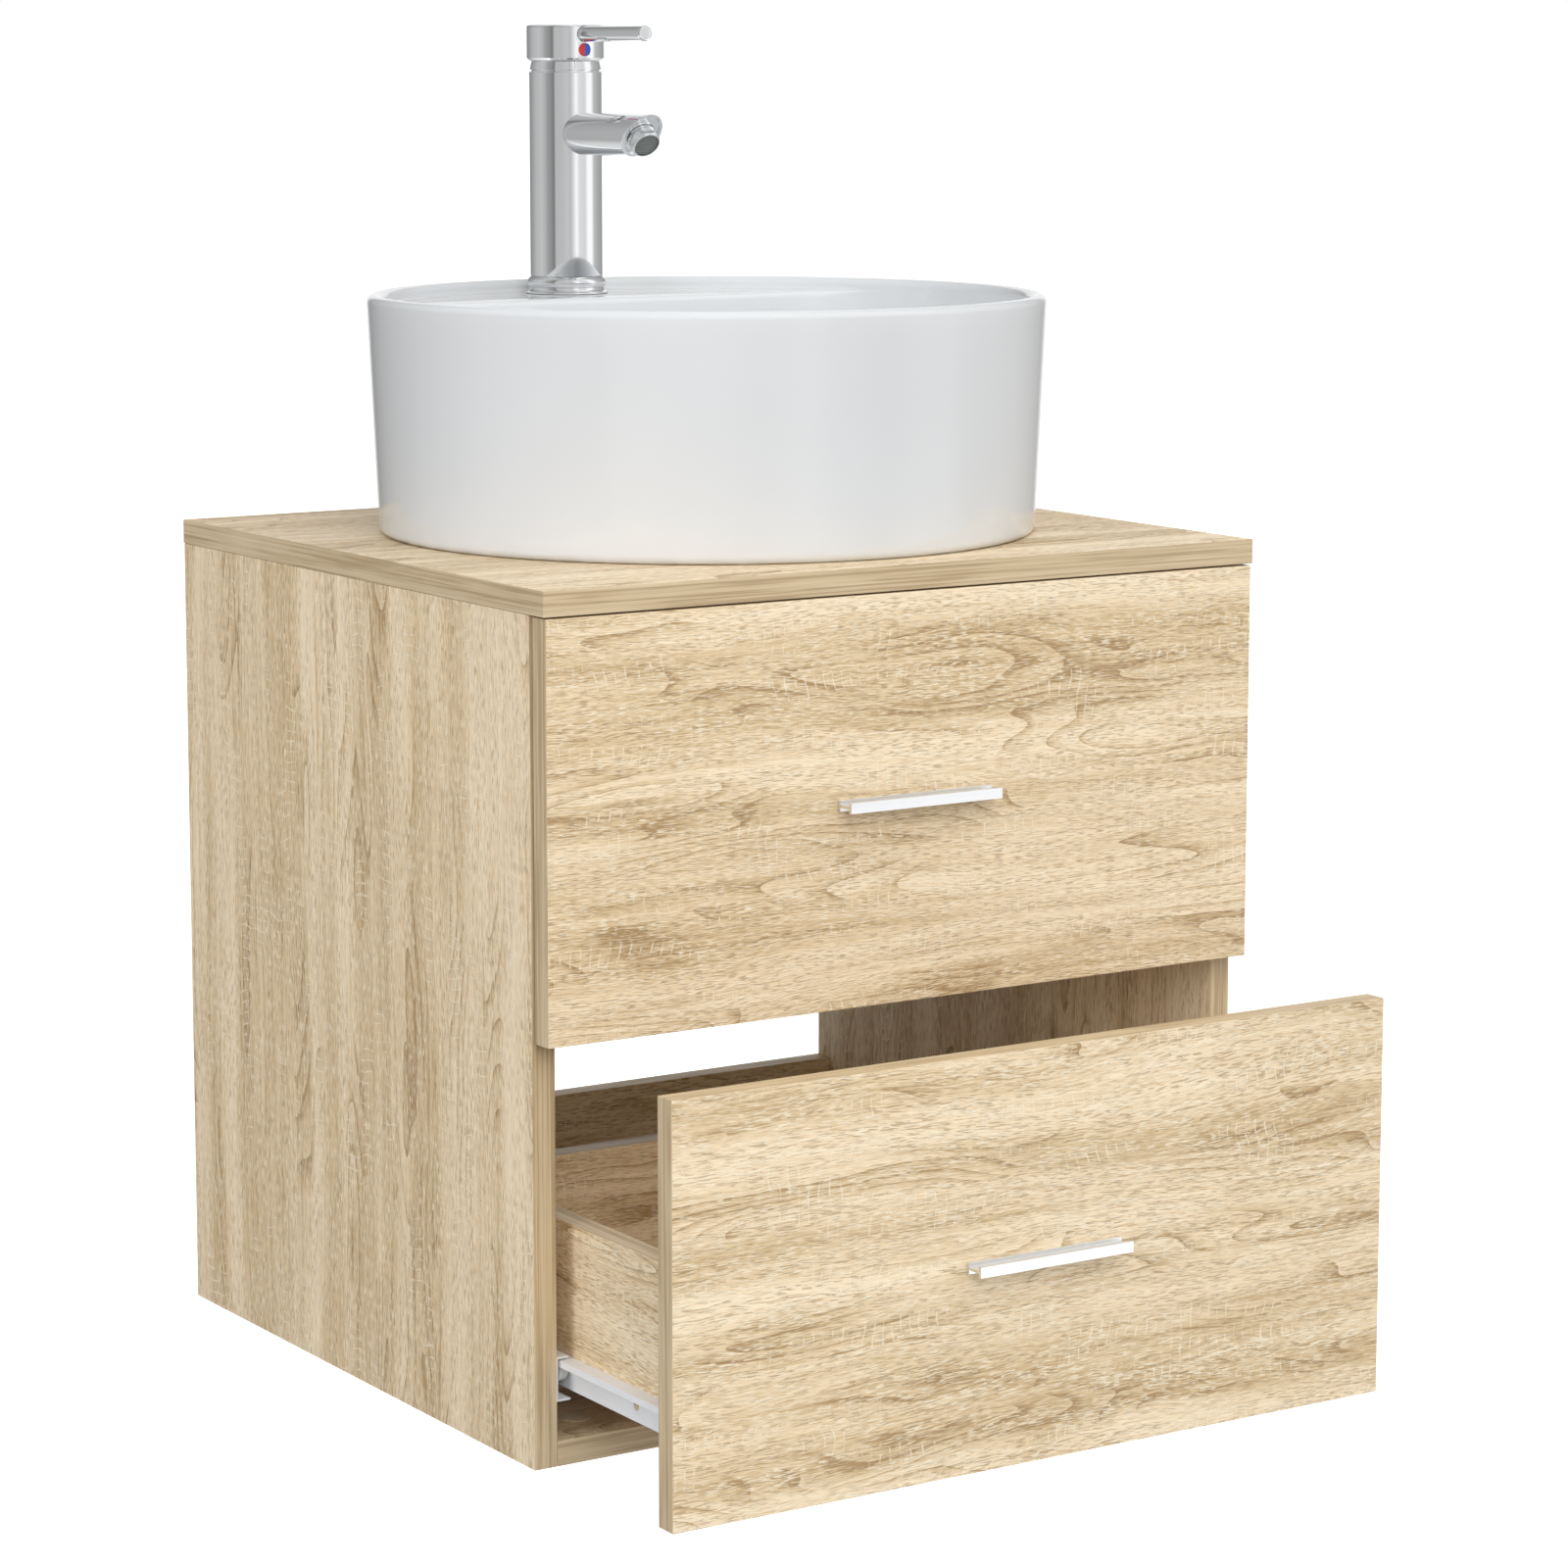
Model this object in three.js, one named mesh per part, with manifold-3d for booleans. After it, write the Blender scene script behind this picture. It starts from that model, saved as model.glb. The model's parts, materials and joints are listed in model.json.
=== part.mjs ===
// Wall-hung bathroom vanity: an oak-look cabinet with two drawers on roller runners, a round sit-on
// basin with a click-clack waste, and a single-lever mixer tap. Millimetres, +Z up, +X to the right,
// -Y to the front. The origin is under the middle of the whole object's box, on the cabinet's
// underside. The pieces are built with y = 0 on the plane of the closed drawer fronts and z = 0 on
// the cabinet's underside, and the last group moves them to that origin.
import * as THREE from "three";
import { mergeVertices } from "three/addons/utils/BufferGeometryUtils.js";
import Module from "manifold-3d";

const wasm = await Module();
wasm.setup();

// Fits between pieces
const seam = 0.1; // glue line or rest gap between two pieces that touch
const clearance = 0.3; // round a piece that sits or turns in a hole

// Cabinet
const width = 500; // worktop, side to side
const depth = 458; // worktop, front to wall
const height = 508; // worktop's top above the cabinet's underside
const worktopThickness = 15;
const panelThickness = 15;
const sideInset = 0.5; // the worktop stands this far past each side panel
const backRailHeight = 88;
const hoseHoleRadius = 27;
const camCoverRadius = 9.5;
const camCoverThickness = 1;
const camFromSidePanel = 32;
const camFromFrontEdge = 34;

// Drawer fronts
const frontThickness = 15;
const frontToCabinetGap = 2; // between a closed front and the side panels' edges
const frontSideReveal = 1.5;
const frontTopReveal = 2;
const frontMiddleReveal = 3.5;
const frontBottomReveal = 4;

// Drawer boxes
const drawerBoardThickness = 15;
const drawerSideHeight = 96;
const drawerSideAboveFrontBottom = 40;
const drawerBottomThickness = 3;
const grooveDepth = 5;
const grooveAboveSideBottom = 10;

// Roller runners
const runnerLength = 300;
const runnerGap = 12.5; // between a drawer side and the cabinet side panel
const runnerSheet = 1.2;
const runnerWebHeight = 18;
const runnerFlange = 9.8; // how far the drawer member's flange stands out
const runnerLip = 4;
const runnerFootWidth = 12; // under the drawer side
const rollerRadius = 6.5;
const rollerWidth = 6;
const rollerEndDistance = 10; // roller centre to the end of its runner
const axleRadius = 2;
const screwHoleRadius = 3;
const screwHoleFromFront = 65;
const lowerDrawerOpening = 132; // the lower drawer stands open by this much

// Handles
const handleLength = 107.5;
const handleHeight = 6.6;
const handleProjection = 13.5;
const handlePlate = 2;
const handleWeb = 1.8;
const handleLipThickness = 2.4;

// Wall hangers
const hangerWidth = 20;
const hangerDepth = 42;
const hangerHeight = 60;
const hookWidth = 10;
const hookThickness = 3;

// Basin
const basinTopRadius = 210;
const basinBaseRadius = 204;
const basinHeight = 147;
const basinWall = 10;
const basinFloor = 13;
const basinEdgeRadius = 5;
const basinFootHeight = 15; // the floor's underside above the worktop
const footRingWidth = 8;
const deckDrop = 8; // tap deck below the rim
const deckThickness = 12;
const deckFrontEdge = 112; // the deck's front edge behind the basin's middle
const tapBehindMiddle = 172;
const wasteBeforeMiddle = 40;
const bowlSegments = 48;

// Waste
const wasteHoleRadius = 22.5;
const wasteFlangeRadius = 32;
const wasteFlangeThickness = 3;
const wasteTubeWall = 3;
const wasteLength = 75;
const wasteNutHeight = 8;
const wasteNutRadius = 30;
const gasketThickness = 4;
const plugHeadHeight = 5;
const plugStemRadius = 6;
const plugStemLength = 40;
const spiderHeight = 6;

// Tap, measured up from the deck
const tapHoleRadius = 17.5;
const tapBodyRadius = 23.5;
const tapBodyWall = 5;
const cartridgeFit = 3.3; // room round the cartridge for the collar's spigot
const tapFootFlare = 3.5; // the foot's radius past the body's
const tapFootHeight = 11;
const capStandOut = 1.5; // the cap's radius past the body's
const capWall = 2;
const capHeight = 23;
const capBottom = 149.5;
const collarHeight = 7;
const pivotBelowCap = 12; // the lever tilts about this height inside the cartridge
const leverRadius = 5;
const leverReach = 100;
const leverBelowCapTop = 6;
const indicatorRadius = 4.2;
const indicatorBelowCapTop = 16;
const indicatorThickness = 0.8;
const spoutRadius = 13.5;
const spoutHeight = 103;
const spoutReach = 96;
const spoutEndAngle = 40; // degrees, the end face's normal below the horizontal
const spoutBore = 7.5;
const aeratorRadius = 9.5;
const aeratorWall = 1.2;
const aeratorStandOut = 8;
const aeratorPocket = 6;
const meshThickness = 1.5;
const cartridgeLength = 40;
const cartridgeTopAbovePivot = 8;
const stemSide = 7.6;
const studRadius = 4;
const studLength = 64;

// Colour, roughness and metalness of each material
const finish = (color, roughness, metalness) => new THREE.MeshStandardMaterial({ color, roughness, metalness });
const oak = () => finish(0xd6be96, 0.6, 0);
const hardboard = () => finish(0xcdb48a, 0.7, 0);
const whiteSteel = () => finish(0xf0f1f3, 0.4, 0.1);
const whitePlastic = () => finish(0xe9e9e6, 0.45, 0);
const beigePlastic = () => finish(0xcdbd9f, 0.5, 0);
const aluminium = () => finish(0xdde0e4, 0.35, 1);
const zincSteel = () => finish(0xb4b8bb, 0.4, 1);
const ceramic = () => finish(0xf2f2f0, 0.12, 0);
const chrome = () => finish(0xd9dcde, 0.08, 1);
const brass = () => finish(0xb99a5b, 0.3, 1);
const rubber = () => finish(0x2a2a2a, 0.8, 0);
const meshGrey = () => finish(0x4d524e, 0.6, 0.2);
const hotRed = () => finish(0xd8281c, 0.4, 0);
const coldBlue = () => finish(0x2453c8, 0.4, 0);

// Places worked out from the sizes
const sideOuter = width / 2 - sideInset;
const sideInner = sideOuter - panelThickness;
const sideFront = frontThickness + frontToCabinetGap;
const worktopUnderside = height - worktopThickness;
const frontHeight = (worktopUnderside - frontTopReveal - frontMiddleReveal - frontBottomReveal) / 2;
const upperFrontBottom = frontBottomReveal + frontHeight + frontMiddleReveal;
const drawerOuter = sideInner - runnerGap;
const basinMiddle = depth / 2;
const basinBottom = height + seam;
const deckHeight = basinHeight - deckDrop;
const wasteY = basinMiddle - wasteBeforeMiddle;
const tapY = basinMiddle + tapBehindMiddle;

// Solids -----------------------------------------------------------------------------------------

function toManifold(geometry) {
  const bare = geometry.clone();
  bare.deleteAttribute("normal");
  bare.deleteAttribute("uv");
  const merged = mergeVertices(bare, 1e-4);
  const vertProperties = merged.getAttribute("position").array;
  return new wasm.Manifold(new wasm.Mesh({ numProp: 3, vertProperties, triVerts: Uint32Array.from(merged.index.array) }));
}

function toGeometry(manifold) {
  const { vertProperties, triVerts } = manifold.getMesh();
  const geometry = new THREE.BufferGeometry();
  geometry.setAttribute("position", new THREE.BufferAttribute(vertProperties, 3));
  geometry.setIndex(new THREE.BufferAttribute(triVerts, 1));
  const faceted = geometry.toNonIndexed();
  faceted.computeVertexNormals();
  return faceted;
}

const cut = (solid, ...cutters) =>
  toGeometry(cutters.reduce((left, cutter) => left.subtract(toManifold(cutter)), toManifold(solid)));
const join = (...solids) => toGeometry(solids.map(toManifold).reduce((whole, solid) => whole.add(solid)));

// A block between two values on each axis.
function block([x0, x1], [y0, y1], [z0, z1]) {
  const geometry = new THREE.BoxGeometry(x1 - x0, y1 - y0, z1 - z0);
  return geometry.translate((x0 + x1) / 2, (y0 + y1) / 2, (z0 + z1) / 2);
}

// A round bar between two points.
function bar(radius, start, end, segments = 24) {
  const from = new THREE.Vector3(...start);
  const to = new THREE.Vector3(...end);
  const along = to.clone().sub(from);
  const geometry = new THREE.CylinderGeometry(radius, radius, along.length(), segments);
  geometry.applyQuaternion(new THREE.Quaternion().setFromUnitVectors(new THREE.Vector3(0, 1, 0), along.normalize()));
  const middle = from.add(to).multiplyScalar(0.5);
  return geometry.translate(middle.x, middle.y, middle.z);
}

// A solid turned about Z from a profile of [radius, z] points, which runs up the outside.
function turned(profile, segments = 32) {
  const points = profile.map(([radius, z]) => new THREE.Vector2(radius, z));
  return new THREE.LatheGeometry(points, segments).rotateX(Math.PI / 2);
}

// A ring about Z with square edges.
function ring(inner, outer, z0, z1, segments = 32) {
  return turned([[inner, z0], [outer, z0], [outer, z1], [inner, z1], [inner, z0]], segments);
}

// A nut with flat sides and a round hole, about Z.
function nut(inner, outer, sides, z0, z1) {
  const blank = turned([[0, z0], [outer, z0], [outer, z1], [0, z1]], sides);
  return cut(blank, bar(inner, [0, 0, z0 - 1], [0, 0, z1 + 1], 32));
}

// Points of an arc in a profile, from one angle to another in degrees.
function arc(centreR, centreZ, radius, fromAngle, toAngle, steps) {
  return Array.from({ length: steps + 1 }, (_, i) => {
    const angle = THREE.MathUtils.degToRad(fromAngle + ((toAngle - fromAngle) * i) / steps);
    return [centreR + radius * Math.cos(angle), centreZ + radius * Math.sin(angle)];
  });
}

const outline = (points) => new THREE.Shape(points.map(([a, b]) => new THREE.Vector2(a, b)));

// An outline of [x, z] points drawn out along Y.
function alongY(points, y0, y1) {
  const geometry = new THREE.ExtrudeGeometry(outline(points), { depth: y1 - y0, bevelEnabled: false });
  return geometry.rotateX(Math.PI / 2).translate(0, y1, 0);
}

// An outline of [y, z] points drawn out along X.
function alongX(points, x0, x1) {
  const geometry = new THREE.ExtrudeGeometry(outline(points), { depth: x1 - x0, bevelEnabled: false });
  const axes = [new THREE.Vector3(0, 1, 0), new THREE.Vector3(0, 0, 1), new THREE.Vector3(1, 0, 0)];
  return geometry.applyMatrix4(new THREE.Matrix4().makeBasis(...axes)).translate(x0, 0, 0);
}

function piece(name, geometry, material, place = [0, 0, 0]) {
  const mesh = new THREE.Mesh(geometry, material);
  mesh.name = name;
  mesh.position.set(...place);
  return mesh;
}

function assembly(place, ...pieces) {
  const group = new THREE.Group();
  group.position.set(...place);
  group.add(...pieces);
  return group;
}

// Cabinet ----------------------------------------------------------------------------------------

function worktop() {
  const board = block([-width / 2, width / 2], [0, depth], [worktopUnderside, height]);
  const under = worktopUnderside - 1;
  const wasteHole = bar(wasteNutRadius + 6, [0, wasteY, under], [0, wasteY, height + 1], 32);
  const hoseHole = bar(hoseHoleRadius, [0, tapY, under], [0, tapY, height + 1], 32);
  return piece("worktop", cut(board, wasteHole, hoseHole), oak());
}

function sidePanel(name, side) {
  const xs = [side * sideInner, side * sideOuter].sort((a, b) => a - b);
  return piece(name, block(xs, [sideFront, depth], [0, worktopUnderside - seam]), oak());
}

function bottomPanel() {
  const half = sideInner - seam;
  return piece("bottom_panel", block([-half, half], [sideFront, depth], [0, panelThickness]), oak());
}

const hookSlotX = sideInner - hangerWidth / 2 - seam;
const hookZ = worktopUnderside - hangerHeight / 2;

function backRail(name, bottom, hasHookSlots) {
  const half = sideInner - seam;
  const board = block([-half, half], [depth - panelThickness, depth], [bottom, bottom + backRailHeight]);
  if (!hasHookSlots) return piece(name, board, oak());
  const slots = [-1, 1].map((side) => {
    const x = side * hookSlotX;
    const reach = hookWidth / 2 + 3;
    return block([x - reach, x + reach], [depth - panelThickness - 1, depth + 1], [hookZ - reach, hookZ + reach]);
  });
  return piece(name, cut(board, ...slots), oak());
}

// A hanger block screwed to the side panel, with a steel hook that reaches back through the rail.
function hanger(name, side) {
  const x = side * hookSlotX;
  const back = depth - panelThickness - seam;
  const xs = [x - hangerWidth / 2, x + hangerWidth / 2];
  const housing = block(xs, [back - hangerDepth, back], [worktopUnderside - seam - hangerHeight, worktopUnderside - seam]);
  const hookXs = [x - hookWidth / 2, x + hookWidth / 2];
  const arm = block(hookXs, [back - 1, depth - 2], [hookZ - hookThickness, hookZ]);
  const tip = block(hookXs, [depth - 2 - hookThickness, depth - 2], [hookZ - hookWidth / 2 - 2, hookZ]);
  return piece(name, join(housing, arm, tip), zincSteel());
}

function camCover(name, side) {
  const x = side * (sideInner - camFromSidePanel);
  const cover = bar(camCoverRadius, [0, 0, 0], [0, 0, camCoverThickness], 20);
  return piece(name, cover, beigePlastic(), [x, sideFront + camFromFrontEdge, panelThickness + seam]);
}

// Runners. Profiles are in the plane across the drawer: out is the distance outwards from the drawer
// side's outer face, up is the height above the drawer side's bottom edge.

const flangeUnderside = runnerWebHeight - runnerSheet;
const cabinetWebOut = runnerGap - seam - runnerSheet;
const cabinetTrack = -4.8; // top of the track that the drawer's rear roller runs on
const rollerOut = seam + runnerSheet + 0.7; // a roller's inner end
const frontRollerUp = flangeUnderside - clearance - rollerRadius;
const rearRollerUp = cabinetTrack + clearance + rollerRadius;

function drawerRunner(name, side) {
  const profile = [
    [-runnerFootWidth, -seam - runnerSheet],
    [seam + runnerSheet, -seam - runnerSheet],
    [seam + runnerSheet, flangeUnderside],
    [runnerFlange - runnerSheet, flangeUnderside],
    [runnerFlange - runnerSheet, runnerWebHeight - runnerLip],
    [runnerFlange, runnerWebHeight - runnerLip],
    [runnerFlange, runnerWebHeight],
    [seam, runnerWebHeight],
    [seam, -seam],
    [-runnerFootWidth, -seam],
  ].map(([out, up]) => [side * (drawerOuter + out), drawerSideAboveFrontBottom + up]);
  const front = frontThickness + seam;
  const rear = frontThickness + runnerLength;
  const hole = bar(
    screwHoleRadius,
    [side * (drawerOuter - 1), frontThickness + screwHoleFromFront, drawerSideAboveFrontBottom + 8],
    [side * (drawerOuter + 3), frontThickness + screwHoleFromFront, drawerSideAboveFrontBottom + 8],
    12,
  );
  const notchPoints = [[4, 13], [17, 14], [8, 3], [9, 9]];
  const notchOutline = notchPoints.map(([y, z]) => [front + y, drawerSideAboveFrontBottom + z]);
  const notchXs = [side * (drawerOuter - 1), side * (drawerOuter + 3)].sort((a, b) => a - b);
  const axleY = rear - rollerEndDistance;
  const axleZ = drawerSideAboveFrontBottom + rearRollerUp;
  const axle = bar(
    axleRadius,
    [side * (drawerOuter + seam + 0.2), axleY, axleZ],
    [side * (drawerOuter + rollerOut + rollerWidth), axleY, axleZ],
    12,
  );
  const member = cut(alongY(profile, front, rear), hole, alongX(notchOutline, ...notchXs));
  return piece(name, join(member, axle), whiteSteel());
}

function cabinetRunner(name, side, drawerFrontBottom) {
  const top = runnerWebHeight + 1 + runnerSheet;
  const webOuter = cabinetWebOut + runnerSheet;
  const profile = [
    [3, cabinetTrack - runnerSheet],
    [webOuter, cabinetTrack - runnerSheet],
    [webOuter, top],
    [4, top],
    [4, top - runnerSheet],
    [cabinetWebOut, top - runnerSheet],
    [cabinetWebOut, cabinetTrack],
    [3, cabinetTrack],
  ].map(([out, up]) => [side * (drawerOuter + out), drawerFrontBottom + drawerSideAboveFrontBottom + up]);
  const front = sideFront + 1;
  const axleY = front + rollerEndDistance;
  const axleZ = drawerFrontBottom + drawerSideAboveFrontBottom + frontRollerUp;
  const axle = bar(
    axleRadius,
    [side * (drawerOuter + rollerOut), axleY, axleZ],
    [side * (drawerOuter + cabinetWebOut + 0.5), axleY, axleZ],
    12,
  );
  return piece(name, join(alongY(profile, front, front + runnerLength), axle), whiteSteel());
}

// A nylon roller about X, its middle at the mesh's position.
function roller(name, side, y, z) {
  const x = side * (drawerOuter + rollerOut + rollerWidth / 2);
  const wheel = ring(axleRadius + clearance, rollerRadius, -rollerWidth / 2, rollerWidth / 2, 18);
  return piece(name, wheel.rotateY(Math.PI / 2), whitePlastic(), [x, y, z]);
}

// Drawers ----------------------------------------------------------------------------------------

// An I-shaped profile bar: a plate on the front, a thin web and a lip to pull.
function handle(name) {
  const high = handleHeight / 2;
  const thin = handleWeb / 2;
  const plateOut = -seam - handlePlate;
  const lipIn = -handleProjection + handleLipThickness;
  const half = [
    [-seam, high],
    [plateOut, high],
    [plateOut, thin],
    [lipIn, thin],
    [lipIn, high],
    [-handleProjection, high],
  ];
  const profile = [...half, ...half.map(([y, z]) => [y, -z]).reverse()];
  return piece(name, alongX(profile, -handleLength / 2, handleLength / 2), aluminium(), [0, 0, frontHeight / 2]);
}

// One drawer in its own frame: y = 0 on its front face, z = 0 on its front's bottom edge.
function drawer(prefix, place) {
  const frontHalf = width / 2 - frontSideReveal;
  const boxInner = drawerOuter - drawerBoardThickness;
  const boxFront = frontThickness + seam;
  const boxBack = frontThickness + runnerLength;
  const sideBottom = drawerSideAboveFrontBottom;
  const sideTop = sideBottom + drawerSideHeight;
  const grooveZ = [sideBottom + grooveAboveSideBottom, sideBottom + grooveAboveSideBottom + drawerBottomThickness + 2 * clearance];
  const grooveHalf = boxInner + grooveDepth;
  const groove = block([-grooveHalf, grooveHalf], [frontThickness - grooveDepth, boxBack + 1], grooveZ);
  const bottomHalf = grooveHalf - clearance;
  const bottomZ = [grooveZ[0] + clearance, grooveZ[1] - clearance];
  const backZ = [grooveZ[1], sideTop];
  const half = boxInner - seam;
  const side = (sign) => {
    const xs = [sign * boxInner, sign * drawerOuter].sort((a, b) => a - b);
    return cut(block(xs, [boxFront, boxBack], [sideBottom, sideTop]), groove);
  };
  const bottomYs = [frontThickness - grooveDepth + clearance, boxBack];
  const rearAxleY = boxBack - rollerEndDistance;
  const rearAxleZ = sideBottom + rearRollerUp;
  return assembly(
    place,
    piece(prefix + "_front", cut(block([-frontHalf, frontHalf], [0, frontThickness], [0, frontHeight]), groove), oak()),
    piece(prefix + "_left_side", side(-1), oak()),
    piece(prefix + "_right_side", side(1), oak()),
    piece(prefix + "_back", block([-half, half], [boxBack - drawerBoardThickness, boxBack], backZ), oak()),
    piece(prefix + "_bottom", block([-bottomHalf, bottomHalf], bottomYs, bottomZ), hardboard()),
    handle(prefix + "_handle"),
    drawerRunner(prefix + "_left_runner", -1),
    drawerRunner(prefix + "_right_runner", 1),
    roller(prefix + "_left_roller", -1, rearAxleY, rearAxleZ),
    roller(prefix + "_right_roller", 1, rearAxleY, rearAxleZ),
  );
}

// The cabinet's half of the runners for one drawer.
function cabinetRunners(prefix, frontBottom) {
  const y = sideFront + 1 + rollerEndDistance;
  const z = frontBottom + drawerSideAboveFrontBottom + frontRollerUp;
  return [
    cabinetRunner(prefix + "_left_track", -1, frontBottom),
    cabinetRunner(prefix + "_right_track", 1, frontBottom),
    roller(prefix + "_left_track_roller", -1, y, z),
    roller(prefix + "_right_track_roller", 1, y, z),
  ];
}

// Basin ------------------------------------------------------------------------------------------

const bowlRadius = basinTopRadius - basinWall;

// Distance from the waste to the bowl's edge in one direction: a circle inside the rim, cut off by
// the deck's front edge, with the two corners rounded.
function bowlReach(angle) {
  const across = -wasteBeforeMiddle * Math.sin(angle);
  const circle = -across + Math.sqrt(across ** 2 + bowlRadius ** 2 - wasteBeforeMiddle ** 2);
  if (Math.sin(angle) <= 0) return circle;
  const edge = (deckFrontEdge + wasteBeforeMiddle) / Math.sin(angle);
  const cornerSharpness = 14;
  return (circle ** -cornerSharpness + edge ** -cornerSharpness) ** (-1 / cornerSharpness);
}

// A closed solid through level rings round the waste. A ring's inset is measured in from the bowl's
// edge, or its radius is a plain circle.
function stackedRings(rings) {
  const positions = [];
  rings.forEach(({ inset, radius, z }) => {
    for (let i = 0; i < bowlSegments; i++) {
      const angle = (2 * Math.PI * i) / bowlSegments;
      const reach = radius ?? bowlReach(angle) - inset;
      positions.push(reach * Math.cos(angle), reach * Math.sin(angle) - wasteBeforeMiddle, z);
    }
  });
  const bottomCentre = rings.length * bowlSegments;
  positions.push(0, -wasteBeforeMiddle, rings[0].z, 0, -wasteBeforeMiddle, rings.at(-1).z);
  const index = [];
  for (let i = 0; i < bowlSegments; i++) {
    const next = (i + 1) % bowlSegments;
    index.push(bottomCentre, next, i);
    for (let level = 0; level < rings.length - 1; level++) {
      const low = level * bowlSegments;
      const high = low + bowlSegments;
      index.push(low + i, low + next, high + next, low + i, high + next, high + i);
    }
    const last = (rings.length - 1) * bowlSegments;
    index.push(bottomCentre + 1, last + i, last + next);
  }
  const geometry = new THREE.BufferGeometry();
  geometry.setAttribute("position", new THREE.Float32BufferAttribute(positions, 3));
  return geometry.setIndex(index);
}

const bowlFloorZ = basinFootHeight + basinFloor; // at the waste
const bowlFloorRise = 5; // the floor falls this much towards the waste
const bowlCornerDrop = 28; // height of the curve between wall and floor
const bowlCornerWidth = 32;
const wallDraft = 7;

// Rings of the bowl's surface from the floor's outer edge up, moved out and down by a thickness.
function bowlRings(thickness, drop, top) {
  const wallFoot = bowlFloorZ + bowlFloorRise + bowlCornerDrop;
  const steps = 5;
  const corner = Array.from({ length: steps + 1 }, (_, i) => {
    const angle = ((i / steps) * Math.PI) / 2;
    const inset = 1 + wallDraft + bowlCornerWidth * (1 - Math.sin(angle)) - thickness;
    return { inset, z: wallFoot - bowlCornerDrop * Math.cos(angle) - drop };
  });
  return [...corner, { inset: 1 - thickness, z: top }];
}

function basin() {
  const foot = basinEdgeRadius;
  const rim = basinWall / 2;
  const outside = turned([
    [0, 0],
    ...arc(basinBaseRadius - foot, foot, foot, -90, 0, 3),
    ...arc(basinTopRadius - rim, basinHeight - rim, rim, 0, 180, 6),
    [bowlRadius, deckHeight],
    [0, deckHeight],
  ], bowlSegments);
  const recess = wasteFlangeThickness + clearance;
  const bowl = stackedRings([
    { radius: wasteHoleRadius, z: -1 },
    { radius: wasteHoleRadius, z: bowlFloorZ - recess },
    { radius: wasteFlangeRadius + clearance, z: bowlFloorZ - recess },
    { radius: wasteFlangeRadius + clearance, z: bowlFloorZ },
    ...bowlRings(0, 0, deckHeight + 1),
  ]);
  const shell = stackedRings([
    { radius: wasteFlangeRadius, z: basinFootHeight },
    ...bowlRings(basinWall, basinFloor, deckHeight + 1),
  ]);
  const hollowTop = deckHeight - deckThickness;
  const cone = [[0, -1], [basinBaseRadius - footRingWidth, -1], [bowlRadius - 1, hollowTop], [0, hollowTop]];
  const hollow = cut(turned(cone, bowlSegments), shell);
  const tapHole = bar(tapHoleRadius, [0, tapBehindMiddle, 0], [0, tapBehindMiddle, basinHeight], 24);
  return piece("basin", cut(outside, bowl, hollow, tapHole), ceramic(), [0, basinMiddle, basinBottom]);
}

// Waste, in a frame with z = 0 on the bowl's floor round it --------------------------------------

const wasteTubeRadius = wasteHoleRadius - 1;
const wasteBore = wasteTubeRadius - wasteTubeWall;
const spiderTop = -24;

function wasteBody() {
  const seat = -wasteFlangeThickness;
  const tube = turned([
    [wasteBore, -wasteLength],
    [wasteTubeRadius, -wasteLength],
    [wasteTubeRadius, seat],
    [wasteFlangeRadius, seat],
    [wasteFlangeRadius, seat + 1.5],
    [wasteFlangeRadius - 2, 0],
    [wasteBore + 2, 0],
    [wasteBore, -2],
    [wasteBore, -wasteLength],
  ]);
  const reach = wasteBore + 1;
  const guide = bar(plugStemRadius + 4, [0, 0, spiderTop - spiderHeight], [0, 0, spiderTop], 20);
  const arm = block([-reach, reach], [-3, 3], [spiderTop - spiderHeight, spiderTop]);
  const stemHole = bar(plugStemRadius + clearance, [0, 0, spiderTop - spiderHeight - 1], [0, 0, spiderTop + 1], 20);
  return piece("waste_body", join(tube, cut(join(guide, arm), stemHole)), chrome());
}

function wastePlug() {
  const low = clearance;
  const head = turned([
    [0, -plugStemLength],
    [plugStemRadius, -plugStemLength],
    [plugStemRadius, -6],
    [plugStemRadius + 6, low],
    [wasteFlangeRadius - 1.5, low],
    [wasteFlangeRadius - 0.5, low + 1.5],
    [wasteFlangeRadius - 6, low + 3.6],
    [wasteFlangeRadius / 2, low + plugHeadHeight - 0.4],
    [0, low + plugHeadHeight],
  ]);
  return piece("waste_plug", head, chrome());
}

function wasteFittings() {
  const gasketTop = -basinFloor - seam;
  const nutTop = gasketTop - gasketThickness - seam;
  const inner = wasteTubeRadius + clearance;
  return [
    piece("waste_gasket", ring(inner, wasteFlangeRadius, gasketTop - gasketThickness, gasketTop), rubber()),
    piece("waste_nut", nut(inner, wasteNutRadius, 8, nutTop - wasteNutHeight, nutTop), whitePlastic()),
  ];
}

// Tap, in a frame with z = 0 on the deck and the spout towards -Y ---------------------------------

const pivotZ = capBottom - pivotBelowCap;
const tapFootRadius = tapBodyRadius + tapFootFlare;
const capRadius = tapBodyRadius + capStandOut;
const bodyBottom = tapFootHeight + seam;
const bodyTop = capBottom - collarHeight;
const cartridgeBore = tapBodyRadius - tapBodyWall;
const cartridgeRadius = cartridgeBore - cartridgeFit;
const cartridgeBottom = pivotZ + cartridgeTopAbovePivot - cartridgeLength;
const waterway = cartridgeBore - 5.5; // leaves a ledge that the cartridge stands on
const inletRadius = 3.5;
const baseThickness = 12;
const collarTopRadius = tapBodyRadius - 1.5;
const domeRadius = Math.hypot(collarTopRadius, pivotBelowCap);
const domeTop = domeRadius - 7; // the dome's flat top above the pivot
const stemOpening = domeTop - 4; // radius of the hole in the dome that the stem tilts in
const spoutAngle = THREE.MathUtils.degToRad(spoutEndAngle);
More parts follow.
